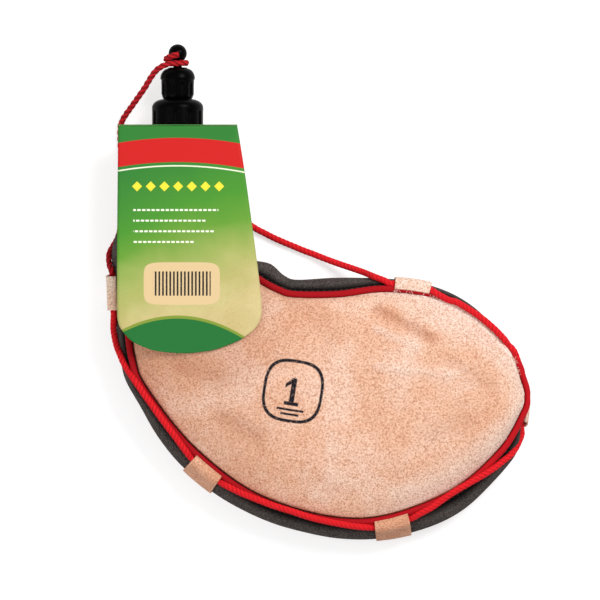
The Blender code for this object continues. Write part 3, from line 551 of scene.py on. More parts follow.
class Finish:
    """A material whose nodes are added one by one."""

    def __init__(self, name, roughness, sheen=0.0, specular=0.5):
        self.material = bpy.data.materials.new(name)
        self.material.use_nodes = True
        self.tree = self.material.node_tree
        self.shader = self.tree.nodes["Principled BSDF"]
        self.shader.inputs["Roughness"].default_value = roughness
        self.shader.inputs["Sheen Weight"].default_value = sheen
        self.shader.inputs["Sheen Roughness"].default_value = 0.5
        self.shader.inputs["Specular IOR Level"].default_value = specular

    def add(self, kind, inputs=None, **settings):
        return add_node(self.tree, kind, inputs, **settings)

    def mix(self, share, a, b, way="MIX"):
        a, b = (linear(side) if isinstance(side, tuple) else side for side in (a, b))
        node = self.add("ShaderNodeMix", {0: share, 6: a, 7: b}, data_type="RGBA", blend_type=way)
        return node.outputs[2]

    def place(self):
        return self.add("ShaderNodeTexCoord").outputs["Object"]

    def lay(self):
        return self.add("ShaderNodeAttribute", attribute_name="lay").outputs["Vector"]

    def parts(self, vector):
        return [Value(part) for part in self.add("ShaderNodeSeparateXYZ", {0: vector}).outputs]

    def moved(self, vector, centre=(0, 0, 0), turn=0.0, size=(1, 1, 1)):
        """The place on a pattern that is centred, turned and sized so."""
        inputs = {"Vector": vector, "Location": centre, "Rotation": (0, 0, turn), "Scale": size}
        return self.add("ShaderNodeMapping", inputs, vector_type="TEXTURE").outputs[0]

    def noise(self, vector, size, detail, roughness, distortion=0.0):
        """Noise whose features are about this size, in the vector's own units."""
        inputs = {"Vector": vector, "Scale": 1.0 / size, "Detail": detail, "Roughness": roughness}
        inputs["Distortion"] = distortion
        return Value(self.add("ShaderNodeTexNoise", inputs).outputs[0])

    def ramp(self, value, *stops):
        node = self.add("ShaderNodeValToRGB", {0: value})
        elements = node.color_ramp.elements
        while len(elements) < len(stops):
            elements.new(0.5)
        for element, (place, colour) in zip(elements, stops):
            element.position = place
            element.color = linear(colour)
        return node.outputs[0]

    def feed(self, name, socket):
        self.tree.links.new(socket, self.shader.inputs[name])

    def finished(self, colour, height, depth, strength):
        """The material, with this colour, and this height as its relief."""
        self.feed("Base Color", colour)
        inputs = {"Height": height, "Distance": depth, "Strength": strength}
        self.feed("Normal", self.add("ShaderNodeBump", inputs).outputs[0])
        return self.material


def stamp(suede, place):
    """Where the worn stamp is inked: a rounded frame, the number 1 and two rules, in mm."""
    x, y, _ = suede.parts(suede.moved(place, STAMP_PLACE, math.radians(-9), (MM, MM, 1.0)))
    around = (abs(x / 19.5) ** 3.0 + abs(y / 20.5) ** 3.0) ** (1 / 3)
    border = around.window(0.915, 1.015, 0.022)
    stem = x.window(-1.7, 1.7, 0.5) * y.window(-8.0, 8.6, 0.5)
    flag = (y - x * 0.85).window(6.0, 9.0, 0.5) * x.window(-5.4, 0.0, 0.5)
    foot = x.window(-4.8, 4.8, 0.5) * y.window(-9.6, -7.2, 0.5)
    drawn = border.most(stem).most(flag.most(foot))
    for low, half in ((-13.2, 9.0), (-16.2, 6.0)):
        drawn = drawn.most(x.window(-half, half, 0.5) * y.window(low, low + 1.5, 0.4))
    worn = suede.noise(place, 0.0012, 3.0, 0.7)
    return drawn * suede.ramp(worn, (0.30, (150, 150, 150)), (0.42, WHITE))


def suede_finish(name, pale, mid, dark, front=False):
    suede = Finish(name, roughness=0.95, sheen=0.15, specular=0.2)
    place = suede.place()
    blotches = suede.noise(place, 0.034, 3.0, 0.5, 0.4)
    patches = suede.noise(place, 0.007, 4.0, 0.6, 0.4)
    stretched = suede.moved(place, turn=0.42, size=(3.0, 0.8, 1.0))
    streaks = suede.noise(stretched, 0.005, 4.0, 0.65, 0.8)
    base = suede.ramp(blotches, (0.34, dark), (0.50, mid), (0.66, pale))
    tones = (0.30, (180, 175, 171)), (0.52, (190, 189, 188)), (0.74, (199, 200, 201))
    colour = suede.mix(0.8, base, suede.ramp(patches, *tones), "SOFT_LIGHT")
    rubbed = suede.ramp(streaks, (0.54, BLACK), (0.74, (140, 140, 140)))
    colour = suede.mix(rubbed, colour, pale)
    if front:
        # The front's marks are partly wear and partly painted light: paler where rubbed, on fold
        # ridges and in the painted light towards the right; browner in fold hollows and in the
        # painted shade on the left.
        nap_and_painted_light = suede.parts(suede.lay())[2]
        ragged = suede.noise(place, 0.0014, 2.0, 0.7) * 3.4
        colour = suede.mix((nap_and_painted_light * 1.0).held(), colour, (253, 234, 222))
        colour = suede.mix((nap_and_painted_light * -1.0).held(), colour, (184, 122, 88))
        # Near black with a ragged edge: the painted shadow along the lower seam.
        colour = suede.mix((nap_and_painted_light * -1.0 - ragged).held(), colour, (44, 14, 12))
    grain = suede.noise(place, 0.0013, 3.0, 0.85)
    fine = suede.noise(place, 0.0008, 2.0, 0.7)
    speckle = suede.ramp(grain, (0.36, (202, 168, 146)), (0.47, (238, 228, 222)), (0.56, WHITE))
    colour = suede.mix(0.95, colour, speckle, "MULTIPLY")
    hairs = suede.ramp(fine, (0.34, (214, 196, 186)), (0.50, WHITE))
    colour = suede.mix(0.9, colour, hairs, "MULTIPLY")
    if front:
        colour = suede.mix(stamp(suede, place), colour, (24, 22, 30))
    return suede.finished(colour, grain * 0.7 + fine * 0.5, 0.00045, 0.9)


def gusset_finish():
    gusset = Finish("gusset_felted_leather", roughness=0.95, specular=0.15)
    place = gusset.place()
    grain = gusset.noise(place, 0.0010, 4.0, 0.75)
    flecks = gusset.noise(place, 0.0007, 3.0, 0.7, 0.3)
    blotches = gusset.noise(place, 0.012, 3.0, 0.5)
    base = gusset.ramp(blotches, (0.35, (64, 57, 55)), (0.65, (80, 72, 69)))
    shade = gusset.ramp(grain, (0.38, (128, 120, 118)), (0.55, WHITE))
    colour = gusset.mix(0.95, base, shade, "MULTIPLY")
    colour = gusset.mix(gusset.ramp(flecks, (0.50, BLACK), (0.66, WHITE)), colour, (116, 108, 102))
    # Painted shadow: the gusset is darker along its top, beside the piping and under the cord.
    across = gusset.parts(gusset.lay())[0]
    beside = gusset.ramp(across, (0.12, (60, 56, 56)), (0.28, WHITE))
    return gusset.finished(gusset.mix(1.0, colour, beside, "MULTIPLY"), grain, 0.0006, 0.9)


def piping_finish():
    piping = Finish("red_piping", roughness=0.75, specular=0.12)
    place = piping.place()
    weave = piping.noise(place, 0.0006, 2.0, 0.6)
    # Darker red on the left and brighter towards the right: painted shade and painted light, varied
    # at random by the noise.
    share = piping.parts(place)[0] / 0.28 + piping.noise(place, 0.010, 3.0, 0.6) * 0.5
    reds = (0.0, (158, 12, 22)), (0.45, (168, 14, 24)), (0.75, (186, 18, 28))
    return piping.finished(piping.ramp(share, *reds), weave, 0.00012, 0.6)


def rope_finish(name, dark, mid, bright_end, groove_shade):
    rope = Finish(name, roughness=0.8, specular=0.2)
    lay = rope.lay()
    distance, local, groove = rope.parts(lay)
    yarns = ((distance * 8.2 + local * 3.2).sine() + 1.0) * 0.5
    fibres = rope.noise(rope.moved(lay, size=(0.9, 0.25, 1.0)), 0.35, 3.0, 0.7)
    bright = rope.ramp(fibres, (0.30, dark), (0.55, mid), (0.75, bright_end))
    # Painted shade in the grooves between the strands, and fainter painted shade between the yarns.
    colour = rope.mix((groove * 1.0).held() * 0.9, bright, groove_shade)
    colour = rope.mix((1.0 - yarns) * 0.14, colour, (120, 6, 14))
    return rope.finished(colour, yarns + fibres * 0.6, 0.00018, 0.9)


def plastic_finish():
    plastic = Finish("black_moulded_plastic", roughness=0.32, specular=0.03)
    place = plastic.place()
    haze = plastic.noise(place, 0.004, 3.0, 0.6)
    scuffs = plastic.noise(plastic.moved(place, size=(1.0, 0.2, 1.0)), 0.0008, 3.0, 0.7)
    plastic.feed("Roughness", plastic.ramp(scuffs, (0.35, grey(0.24)), (0.75, grey(0.40))))
    blacks = (0.3, (2, 2, 2)), (0.7, (4, 3, 4))
    return plastic.finished(plastic.ramp(haze, *blacks), haze, 0.00006, 0.5)


def plain_finish(
    name, low, high, *, size, depth, detail, strength, roughness, specular=0.5, twist=0.0
):
    """A finish with one noise, between two colours."""
    plain = Finish(name, roughness=roughness, specular=specular)
    grain = plain.noise(plain.place(), size, detail, 0.6, twist)
    return plain.finished(plain.ramp(grain, low, high), grain, depth, strength)


def kraft(card, place):
    """Recycled card: a tan ground with short fibres."""
    ground = card.noise(place, 0.020, 3.0, 0.5)
    stretched = card.moved(place, turn=0.6, size=(2.6, 0.6, 1.0))
    fibres = card.noise(stretched, 0.0012, 3.0, 0.7, 1.5)
    base = card.ramp(ground, (0.35, (196, 176, 118)), (0.65, (208, 190, 134)))
    tones = (0.28, (150, 128, 84)), (0.38, (186, 186, 186)), (0.75, (212, 214, 214))
    return card.mix(0.7, base, card.ramp(fibres, *tones), "SOFT_LIGHT"), fibres


def bare_card_finish(name, roughness, folded=False):
    """Bare card. A folded leaf has the print's green carried over the fold."""
    card = Finish(name, roughness=roughness)
    place = card.place()
    colour, fibres = kraft(card, place)
    if folded:
        fold = card.parts(place)[2].window(0.0400, 0.0500, 0.0004)
        colour = card.mix(fold, colour, PRINT_GREEN)
    return card.finished(colour, fibres, 0.00008, 0.5)


def printed_card_finish():
    """The tag's print, in millimetres across and down: green fading to bare card, a red band and a
    rule, lozenges, rows of beads, a panel of bars and a green foot."""
    card = Finish("printed_card", roughness=0.55, specular=0.2)
    bare, fibres = kraft(card, card.place())
    x, y, _ = card.parts(card.lay())
    drift = card.noise(card.lay(), 40.0, 3.0, 0.5, 0.5) * 30.0
    share = (y - drift + x * 0.35) / 150.0
    green = card.ramp(share, (0.10, PRINT_GREEN), (0.38, (74, 146, 44)), (0.66, (136, 170, 62)))
    colour = card.mix(card.ramp(share, (0.48, WHITE), (0.84, BLACK)), bare, green)
    middle = x - 39.0
    bow = middle * middle * 0.0022
    band = y - bow
    colour = card.mix(band.window(8.0, 24.0, 0.3), colour, (204, 26, 24))
    colour = card.mix(band.window(26.0, 26.9, 0.3), colour, (238, 240, 214))
    slant = abs((x + 100.0) % 9.0 - 4.5) + abs(y - 40.0)
    lozenges = slant.window(-1.0, 3.3, 0.3) * x.window(7.0, 71.5, 0.3)
    colour = card.mix(lozenges, colour, (246, 226, 60))
    for down, reach in ((55.0, 66.0), (62.0, 58.0), (69.0, 63.0), (76.0, 50.0)):
        row = (y - down).window(0.0, 1.2, 0.3) * x.window(10.0, reach, 0.3)
        beads = ((x + (100.0 + down)) % 3.1).window(0.3, 2.5, 0.3)
        colour = card.mix(row * beads, colour, (244, 246, 228))
    around = abs((x - 42.0) / 25.0) ** 6.0 + abs((y - 104.0) / 14.0) ** 6.0
    colour = card.mix(around.window(-1.0, 1.0, 0.12), colour, (222, 194, 146))
    bars = x.window(23.0, 61.0, 0.2) * y.window(96.0, 112.0, 0.3)
    colour = card.mix(bars * (x % 2.4).window(0.2, 1.4, 0.25), colour, (40, 36, 32))
    foot = y + bow * -3.2
    colour = card.mix(foot.window(125.0, 200.0, 0.3), colour, (130, 150, 54))
    colour = card.mix(foot.window(127.0, 200.0, 0.3), colour, (30, 112, 48))
    return card.finished(colour, fibres, 0.00005, 0.4)


SUEDE = suede_finish("peach_suede", (250, 216, 196), (243, 199, 173), (237, 188, 159), front=True)
PLAIN_SUEDE = suede_finish("plain_suede", (247, 214, 194), (238, 192, 165), (222, 168, 138))
# The pale and warm suedes are lighter copies of the same suede: painted light that lifts the
# keepers' shading.
PALE_PAINTED_LIGHT_SUEDE = suede_finish("pale_painted_light_suede", (255, 236, 222), (252, 222, 204), (246, 208, 188))
WARM_PAINTED_LIGHT_SUEDE = suede_finish("warm_painted_light_suede", (255, 242, 226), (255, 233, 212), (255, 224, 200))
TAN_SUEDE = suede_finish("tan_suede", (240, 190, 160), (229, 174, 142), (216, 158, 126))
GUSSET = gusset_finish()
PIPING = piping_finish()
# Each cord's reds: dark, mid and bright fibres, then the painted shade in the grooves between
# strands.
TAUT_REDS = (226, 18, 30), (242, 26, 36), (250, 56, 60), (120, 4, 12)
# The loose stretches take a darker copy of the same cord's reds: painted shade.
SLACK_REDS = (180, 14, 26), (206, 24, 36), (228, 56, 62), (62, 2, 8)
TAUT_ROPE = rope_finish("red_pulled_cord", *TAUT_REDS)
SLACK_ROPE = rope_finish("red_loose_cord", *SLACK_REDS)
PLASTIC = plastic_finish()
RUBBER = plain_finish(
    "grey_rubber", (0.35, (84, 84, 84)), (0.7, (104, 104, 104)),
    size=0.0006, depth=0.00008, detail=3.0, strength=0.6, roughness=0.8,
)
FILM = plain_finish(
    "bladder_film", (0.3, (206, 206, 198)), (0.7, (232, 232, 226)),
    size=0.006, depth=0.0006, detail=4.0, strength=0.8, roughness=0.4, twist=1.2,
)
THREAD_LIKE = {
    "size": 0.0004, "depth": 0.00006, "detail": 2.0,
    "strength": 0.7, "roughness": 0.8, "specular": 0.2,
}
THREAD = plain_finish("dark_thread", (0.3, (46, 38, 36)), (0.7, (74, 62, 58)), **THREAD_LIKE)
HAIR = plain_finish("pale_hair", (0.3, (246, 222, 206)), (0.7, (255, 240, 228)), **THREAD_LIKE)
CARD = bare_card_finish("plain_card", 0.75)
FOLD = bare_card_finish("folded_card", 0.7, folded=True)
PRINT = printed_card_finish()


# ---------------------------------------------------------------- camera
CAMERA_PLACE = (-0.01287, -0.00561, 3.0)
PICTURE_WIDTH = 600 * 0.66 * MM
SENSOR_WIDTH = 36.0


def camera():
    """Straight above the bag, with a long lens that sees the picture's width at the front seam."""
    lens = bpy.data.cameras.new("camera")
    lens.sensor_width = SENSOR_WIDTH
    lens.lens = SENSOR_WIDTH * (CAMERA_PLACE[2] - FRONT_SEAM_HEIGHT) / PICTURE_WIDTH
    lens.clip_end = 20.0
    eye = bpy.data.objects.new("camera", lens)
    eye.location = CAMERA_PLACE
    bpy.context.scene.collection.objects.link(eye)
    bpy.context.scene.camera = eye
    bpy.context.scene.view_settings.view_transform = "Standard"


# ---------------------------------------------------------------- cords
def cord_route(route):
    return smooth_route([bag_point(entry) for entry in route], ROPE_STEP)


def rope(name, points, lay, body, replaced):
    mesh = rope_mesh(name, points, *lay)
    finish = SLACK_ROPE if lay == SLACK else TAUT_ROPE
    return add_piece(name, mesh, finish, body, "red_cord", replaced)


def wound_points(start, turn_by, count, radius_at, height_at):
    """Points wound round the neck's axis, with a straight end one diameter long."""
    points = []
    for step in range(count + 1):
        points.append(about_neck(radius_at(step), start + turn_by * step, height_at(step)))
    last = points[-1] - points[-2]
    points.append(points[-1] + last.normalized() * 2 * CORD_RADIUS)
    return smooth_route(points, ROPE_STEP)


def long_cord():
    """The free stretches of the cord, and the one that the keepers hold."""
    tether = cord_route(TETHER_ROUTE)
    middle = bag_point(TETHER_ROUTE[TETHER_SPLIT])
    split = min(range(len(tether)), key=lambda index: (tether[index] - middle).length)
    upper = tether[: split + 1]
    lower = tether[split:]
    piece = rope("cap_tether_upper", upper, SLACK, None, "cap_tether")
    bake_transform(piece)
    piece = rope("cap_tether_lower", lower, SLACK, None, "cap_tether")
    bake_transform(piece)
    shoulder = cord_route(SHOULDER_ROUTE)
    rope("shoulder_cord", shoulder, TAUT, "bag", "shoulder_stretch")
    rope("carrying_cord_laid", cord_route(CARRYING_ROUTE), TAUT, "bag", "carrying_cord")


def neck_binding():
    """The cord's end, wound round the leather neck."""
    radius, first, pitch, turns = 0.0174, -0.0028, 0.0048, 2.75  # metres, and turns
    points = wound_points(
        -2 * math.pi * turns,
        2 * math.pi / WINDING_STEPS,
        round(turns * WINDING_STEPS),
        lambda step: radius,
        lambda step: first - pitch * step / WINDING_STEPS,
    )
    rope("neck_binding_cord", points, TAUT, "bag", "neck_binding")


def knob_loop():
    """One turn of cord round the knob's neck, which climbs down the ball onto it."""
    start_angle, final, slope, lift = -1.45, CAP_CROWN + 0.0026, 0.0016, 0.0042
    touch = KNOB_RADIUS + CORD_RADIUS + CLEARANCE
    least = KNOB_NECK_RADIUS + CORD_RADIUS + CLEARANCE

    def height_at(step):
        ahead = (WINDING_STEPS - step) / WINDING_STEPS
        return final + slope * ahead + lift * ahead**3

    def radius_at(step):
        beside = touch**2 - (KNOB_CENTRE - height_at(step)) ** 2
        return max(least, math.sqrt(max(beside, 0.0)))

    turn_by = -2 * math.pi / WINDING_STEPS
    points = wound_points(start_angle, turn_by, WINDING_STEPS, radius_at, height_at)
    rope("knob_cord_loop", points, SLACK, "cord_loop", "knob_loop")


# ---------------------------------------------------------------- leather
def fold_rise(x, y):
    """The height that the folds add at a place, in metres, from their list in millimetres."""
    rise = 0.0
    here = Vector((x, y)) / MM
    for start, end, width, height in FRONT_FOLDS:
        a = Vector(start)
        b = Vector(end)
        share = min(max((here - a).dot(b - a) / (b - a).length_squared, 0.0), 1.0)
        away = (here - a.lerp(b, share)).length / width
        if away < 3.0:
            rise += height * math.exp(-(away**2))
    return rise * MM


def lip_share(place):
    """How far the front panel's raw edge climbs over the piping here, 0 to 1."""
    full = 0.2 + 0.8 * smooth_share(place, 16.0, 17.2)
    return full * smooth_share(place, 13.2, 14.4) * (1.0 - smooth_share(place, 18.4, 19.4))


def fall(value, start, end):
    """1 up to start, 0 from end on."""
    return 1.0 - smooth_share(value, start, end)


def wear_and_painted_light(x, y, edge, lip):
    """How pale the front panel is rubbed and lit by painted light, less its painted shade on the
    left and how dark the seam's painted shadow is.
    """
    # Paler along the edge and in a wide band towards the right: partly rubbed wear, partly painted
    # light on the side the key lamp faces.
    rubbed = 0.6 * fall(edge, 0.0, 0.0045) * smooth_share(x, -0.02, 0.09)
    rubbed += 0.62 * fall(edge, 0.004, 0.034) * smooth_share(x, 0.01, 0.09)
    # Painted shade: darker over the left, most in the upper left beside the tag.
    painted_shade = fall(x, -0.060, 0.005) * (0.14 + 0.24 * smooth_share(y, -0.080, -0.048))
    shadow = 3.4 * fall(edge, 0.0001, 0.0014) * (1.0 - lip) * fall(y, -0.040, -0.018)
    return rubbed - painted_shade - shadow


def panel_rows(front, row_steps, across_steps):
    """The panel's points, and for each of them its place across and along and its mark: wear,
    painted light and painted shade.
    """
    seam = front_seam if front else back_seam
    crown = FRONT_CROWN if front else BACK_CROWN
    roll = 0.0006 if front else 0.0011
    rows = []
    marks = []
    for row in (TIP * step / row_steps for step in range(row_steps + 1)):
        left = seam(row)
        right = seam(2 * TIP - row)
        half = (right - left).length / 2
        share = body_share(row)
        reach = min(half / CROWN_REACH, 1.0)
        ridge = blend(NECK_RIDGE, crown * math.sqrt(1.0 - (1.0 - reach) ** 2), share)
        power = blend(2.0, 3.5, share)
        line = []
        mark = []
        for step in range(across_steps + 1):
            across = -math.cos(math.pi * step / across_steps)
            rise = ridge * (1.0 - abs(across) ** power)
            flat = (left + right) / 2 + (right - left) * across / 2
            edge = (1.0 - abs(across)) * half
            rolled = roll * fall(edge, 0.0, 0.0030)
            side = row if across < 0.0 else 2 * TIP - row
            lip = lip_share(side)
            if front:
                climb = lip * fall(edge, 0.0, 0.0045)
                ragged = 0.0013 + 0.0008 * noise.noise(Vector((flat.x, flat.y, 2.0)) * 620.0)
                flat = flat + outward(SEAM, side) * (ragged * climb)
                rolled -= 0.0024 * climb
            lively = smooth_share(edge, 0.0, 0.014) * share
            wander = noise.noise(Vector((flat.x, flat.y, 0.3 if front else 0.9)) * 32.0) * 0.00055
            wander += noise.noise(Vector((flat.x, flat.y, 0.7)) * 90.0) * 0.00016
            if front:
                folds = fold_rise(flat.x, flat.y) * lively
                height = front_seam_height(row) + rise - rolled + wander * lively + folds
                # The folds' rise is also a mark: painted light on their ridges and painted shade in
                # their hollows, partly the nap's own tone.
                mark.append((across, row, folds / MM * 0.36 + wear_and_painted_light(flat.x, flat.y, edge, lip)))
            else:
                height = max(back_seam_height(row) - rise + rolled + wander * lively, 0.0)
            line.append(Vector((flat.x, flat.y, height)))
        rows.append(line)
        marks.append(mark)
    return rows, marks


def panels():
    for side, finish, row_steps, across_steps in (
        ("front", SUEDE, 190, 110),
        ("back", PLAIN_SUEDE, 140, 80),
    ):
        front = side == "front"
        name = side + "_suede"
        rows, marks = panel_rows(front, row_steps, across_steps)
        mesh = skin(name, rows, flip=not front, marks=marks if front else None)
        piece = add_piece(name, mesh, finish, "bag", "suede", side + "_panel")
        thicken(piece, LEATHER_THICKNESS)


def gusset_section(place):
    """The gusset's top and foot at a place, their heights, the way out and how far it bulges."""
    row = row_of(place)
    share = smooth_share(row, NECK_END, PIPING_START)
    reach = blend(CLEARANCE, PIPING_OFFSET * 1.3, share)
    drop = blend(0.0, PIPING_OFFSET + LEATHER_THICKNESS / 2, share)
    out = outward(SILHOUETTE, place)
    top = front_seam(place) + outward(SEAM, place) * reach
    foot = back_seam(place) + out * reach
    side = on_curve(SILHOUETTE, place)
    bulge = max((side - (top + foot) / 2).dot(out), GUSSET_LEAST_BULGE)
    return top, foot, front_seam_height(row) - drop, back_seam_height(row) + drop, out, bulge


def gusset_point(place, across, lift=0.0):
    """The point on the gusset at a share of the way from its top to its foot, lifted off it."""
    top, foot, top_height, foot_height, out, bulge = gusset_section(place)
    angle = math.pi * across
    sweep = (1.0 - math.cos(angle)) / 2
    flat = top + (foot - top) * sweep + out * bulge * math.sin(angle)
    point = Vector((flat.x, flat.y, blend(top_height, foot_height, sweep)))
    if not lift:
        return point
    half = (top_height - foot_height) / 2
    slant = (foot - top).dot(out) / 2
    side = half * math.sin(angle)
    up = bulge * math.cos(angle) + slant * math.sin(angle)
    return point + Vector((out.x * side, out.y * side, up)).normalized() * lift


def gusset():
    steps = shares(22)
    rows = []
    marks = []
    for place in even_places(0.0, 0.0022):
        row = []
        out = outward(SILHOUETTE, place).to_3d()
        for across in steps:
            point = gusset_point(place, across)
            calm = math.sin(math.pi * across) * body_share(row_of(place))
            row.append(point + out * (noise.noise(point * 38.0) * 0.00045 * calm))
        rows.append(row)
        # The place across is kept for the gusset finish's painted shadow along its top.
        marks.append([(across, place, 0.0) for across in steps])
    mesh = skin("gusset_strip", rows, flip=True, marks=marks)
    piece = add_piece("gusset_strip", mesh, GUSSET, "bag", "gusset_leather", "side_gusset")
    thicken(piece, GUSSET_THICKNESS)


def pipings():
    for side in ("front", "back"):
        points = []
        for place in even_places(PIPING_START, 0.0020):
            row = row_of(place)
            if side == "front":
                flat = front_seam(place) + outward(SEAM, place) * PIPING_OFFSET
                height = front_seam_height(row) - PIPING_SINK
            else:
                flat = back_seam(place) + outward(SILHOUETTE, place) * PIPING_OFFSET
                height = back_seam_height(row) + PIPING_SINK
            points.append(Vector((flat.x, flat.y, height)))
        name = side + "_piping_cord"
        mesh = tube_mesh(name, points, PIPING_RADIUS)
        add_piece(name, mesh, PIPING, "bag", "red_piping", side + "_piping")


def moved_along(place, distance):
    """The place that is this far along the gusset's middle."""
    nudge = math.copysign(0.02, distance)
    left = abs(distance)
    while left > 0.0:
        step = (gusset_point(place + nudge, 0.5) - gusset_point(place, 0.5)).length
        place += nudge * min(left / step, 1.0)
        left -= step
    return place


# Each keeper's place along the outline, the cord's place across the gusset in it, whether the
# pulled cord presses it against the piping, and its suede
# keeper_left, keeper_right and keeper_top_right take a lighter copy of the suede: painted light.
KEEPERS = {
    "keeper_left": (5.12, 0.345, False, WARM_PAINTED_LIGHT_SUEDE),
    "keeper_lower_left": (9.24, 0.10, True, TAN_SUEDE),
    "keeper_bottom": (11.337, 0.10, True, TAN_SUEDE),
    "keeper_right": (14.57, 0.60, False, PALE_PAINTED_LIGHT_SUEDE),
    "keeper_top_right": (19.42, 0.10, True, PALE_PAINTED_LIGHT_SUEDE),
}
KEEPER_LENGTH = 0.0235
KEEPER_THICKNESS = 0.0012
KEEPER_FOOT = 0.0065
KEEPER_END = 0.93
KEEPER_STEPS = 12


def keeper(name, place, middle, pressed, finish):
    """A strap from the piping over the cord to the gusset's foot. Its path is a list of places
    across the gusset, each with the height of the strap's middle above it."""
    _, _, top_height, foot_height, _, bulge = gusset_section(place)
    girth = math.pi * math.sqrt((((top_height - foot_height) / 2) ** 2 + bulge**2) / 2)
    lie = CLEARANCE + KEEPER_THICKNESS / 2
    cord_lift = CORD_RADIUS + CLEARANCE
    over = cord_lift + lie
    first_angle = 180
    path = []
    if pressed:
        first_angle = 150
        path.append((0.0001 / girth, cord_lift + 0.0032))
    else:
        middle = max(middle, (PIPING_OFFSET + over) / girth)
        if middle * girth > over + KEEPER_FOOT:
            first = PIPING_OFFSET / girth
            last = middle - KEEPER_FOOT / girth
            path += [(blend(first, last, share), lie) for share in shares(4)]
    for degrees in range(first_angle, 20, -10):
        angle = math.radians(degrees)
        path.append((middle + math.cos(angle) * over / girth, cord_lift + math.sin(angle) * over))
    foot = middle + KEEPER_FOOT / girth
    left = KEEPER_END - foot
    path += [(foot + left * share, lie) for share in shares(KEEPER_STEPS)]
    rows = []
    for share in shares(KEEPER_STEPS):
        there = moved_along(place, KEEPER_LENGTH * (share - 0.5))
        rows.append([gusset_point(there, across, lift) for across, lift in path])
    piece = add_piece(name + "_strap", skin(name, rows, flip=True), finish, "bag", "suede", name)
    thicken(piece, KEEPER_THICKNESS, 0.0)
    apply_modifier(
        piece, "BEVEL", width=0.0002, segments=2, limit_method="ANGLE", angle_limit=math.radians(40)
    )
    piece.data.shade_smooth()


STITCH_PITCH = 0.0036
STITCH_LENGTH = 0.0021
STITCH_LIFT = 0.0002
THREAD_RADIUS = 0.00028
HAIR_RADIUS = 0.00014
HAIR_COUNT = 48


def stitches():
    """Lock stitches that show just outside each piping."""
    for name, across in (("front_stitches", 0.075), ("back_stitches", 0.925)):
        runs = []
        for place in even_places(PIPING_START, STITCH_PITCH)[1:-1]:
            a = gusset_point(place, across, STITCH_LIFT)
            b = gusset_point(moved_along(place, STITCH_LENGTH), across, STITCH_LIFT)
            runs.append([a.lerp(b, share) for share in (0.0, 0.2, 0.8, 1.0)])
        mesh = slim_tubes(name, runs, 6, THREAD_RADIUS, (0.2, 1.0, 1.0, 0.2))
        mesh.shade_smooth()
        add_piece(name, mesh, THREAD, "bag", "red_piping")


def edge_fibres():
    """Pale hairs of the suede's cut edge that lie over the piping along the right side."""
    pick = random.Random(7)
    runs = []
    for _ in range(HAIR_COUNT):
        place = pick.uniform(16.2, 20.3)
        root = front_seam(place).to_3d()
        root.z = front_seam_height(row_of(place)) + 0.0004
        out = outward(SEAM, place).to_3d()
        along = Vector((-out.y, out.x, 0.0))
        lean = pick.uniform(-0.9, 0.9)
        reach = pick.uniform(0.0016, 0.0034)
        points = []
        for share in (0.0, 0.4, 0.75, 1.0):
            lift = Vector((0, 0, 0.0024 * math.sin(min(share * 2.2, 1.6)) + 0.0002))
            flat = root + out * (reach * share - 0.0004) + along * (lean * reach * share**2)
            points.append(flat + lift)
        runs.append(points)
    mesh = slim_tubes("edge_fibres", runs, 4, HAIR_RADIUS, (1.0, 0.9, 0.6, 0.2))
    add_piece("edge_fibres", mesh, HAIR, "bag", "suede")


def bladder():
    """The film bladder: its solid, welded and smoothly shaded."""
    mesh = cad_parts["inner_liner"].data.copy()
    weld(mesh)
    mesh.materials.clear()
    mesh.shade_smooth()
    add_piece("bladder_film", mesh, FILM, "bag", "liner_film", "inner_liner")


# ---------------------------------------------------------------- neck pieces
def turned_part(name, profile, steps, body, replaced, groove=None, closed=True):
    """A profile of (radius, height) turned about the neck's axis. groove(angle, height, radius)
    says how far out the plastic reaches there."""
    rows = []
    for radius, height in profile + ([profile[0]] if closed else []):
        row = []
        for angle in ring(steps):
            size = radius
            if groove:
                size = min(size, max(groove(angle, height, radius), 0.0))
            row.append(about_neck(size, angle, height))
        rows.append(row)
    mesh = skin(name, rows, wrap=True)
    rework(mesh, lambda shape: bmesh.ops.recalc_face_normals(shape, faces=shape.faces))
    mesh.shade_smooth()
    mesh.set_sharp_from_angle(angle=math.radians(50))
    add_piece(name, mesh, PLASTIC, body, "black_plastic", replaced)


def flute_groove(count, wall, size, depth, top, inner):
    """How far out the plastic reaches beside round-ended flutes cut in a wall."""
    ring = wall + size - depth
    pitch = 2 * math.pi / count

    def reach(angle, height, radius):
        if radius < inner:
            return radius
        local = (angle + pitch / 2) % pitch - pitch / 2
        above = height - (top - size)
        rod = size if above < 0 else math.sqrt(max(size**2 - above**2, 0.0))
        across = ring * math.sin(local)
        if abs(across) >= rod:
            return radius
        return ring * math.cos(local) - math.sqrt(rod**2 - across**2)

    return reach


def arc(radius, height, size, start, end, steps):
    """Points (radius, height) on part of a circle, from one angle to another in degrees."""
    out = []
    for share in shares(steps):
        angle = math.radians(blend(start, end, share))
        out.append((radius + size * math.cos(angle), height + size * math.sin(angle)))
    return out


def upper_corner(radius, height, size, steps=4):
    return arc(radius - size, height - size, size, 90, 0, steps)


def lower_corner(radius, height, size, steps=4):
    return arc(radius - size, height + size, size, 0, -90, steps)


def shoulder(inner, outer, foot, top):
    """Points down a shoulder that is a quarter of an ellipse."""
    steps = 14
    out = []
    for step in range(steps + 1):
        angle = math.pi / 2 * (1 - step / steps)
        radius = inner + (outer - inner) * math.cos(angle)
        out.append((radius, blend(foot, top, math.sin(angle))))
    return out


def wall_down(radius, top, foot, spacing=0.0005):
    count = max(1, round((top - foot) / spacing))
    return [(radius, blend(top, foot, share)) for share in shares(count)]


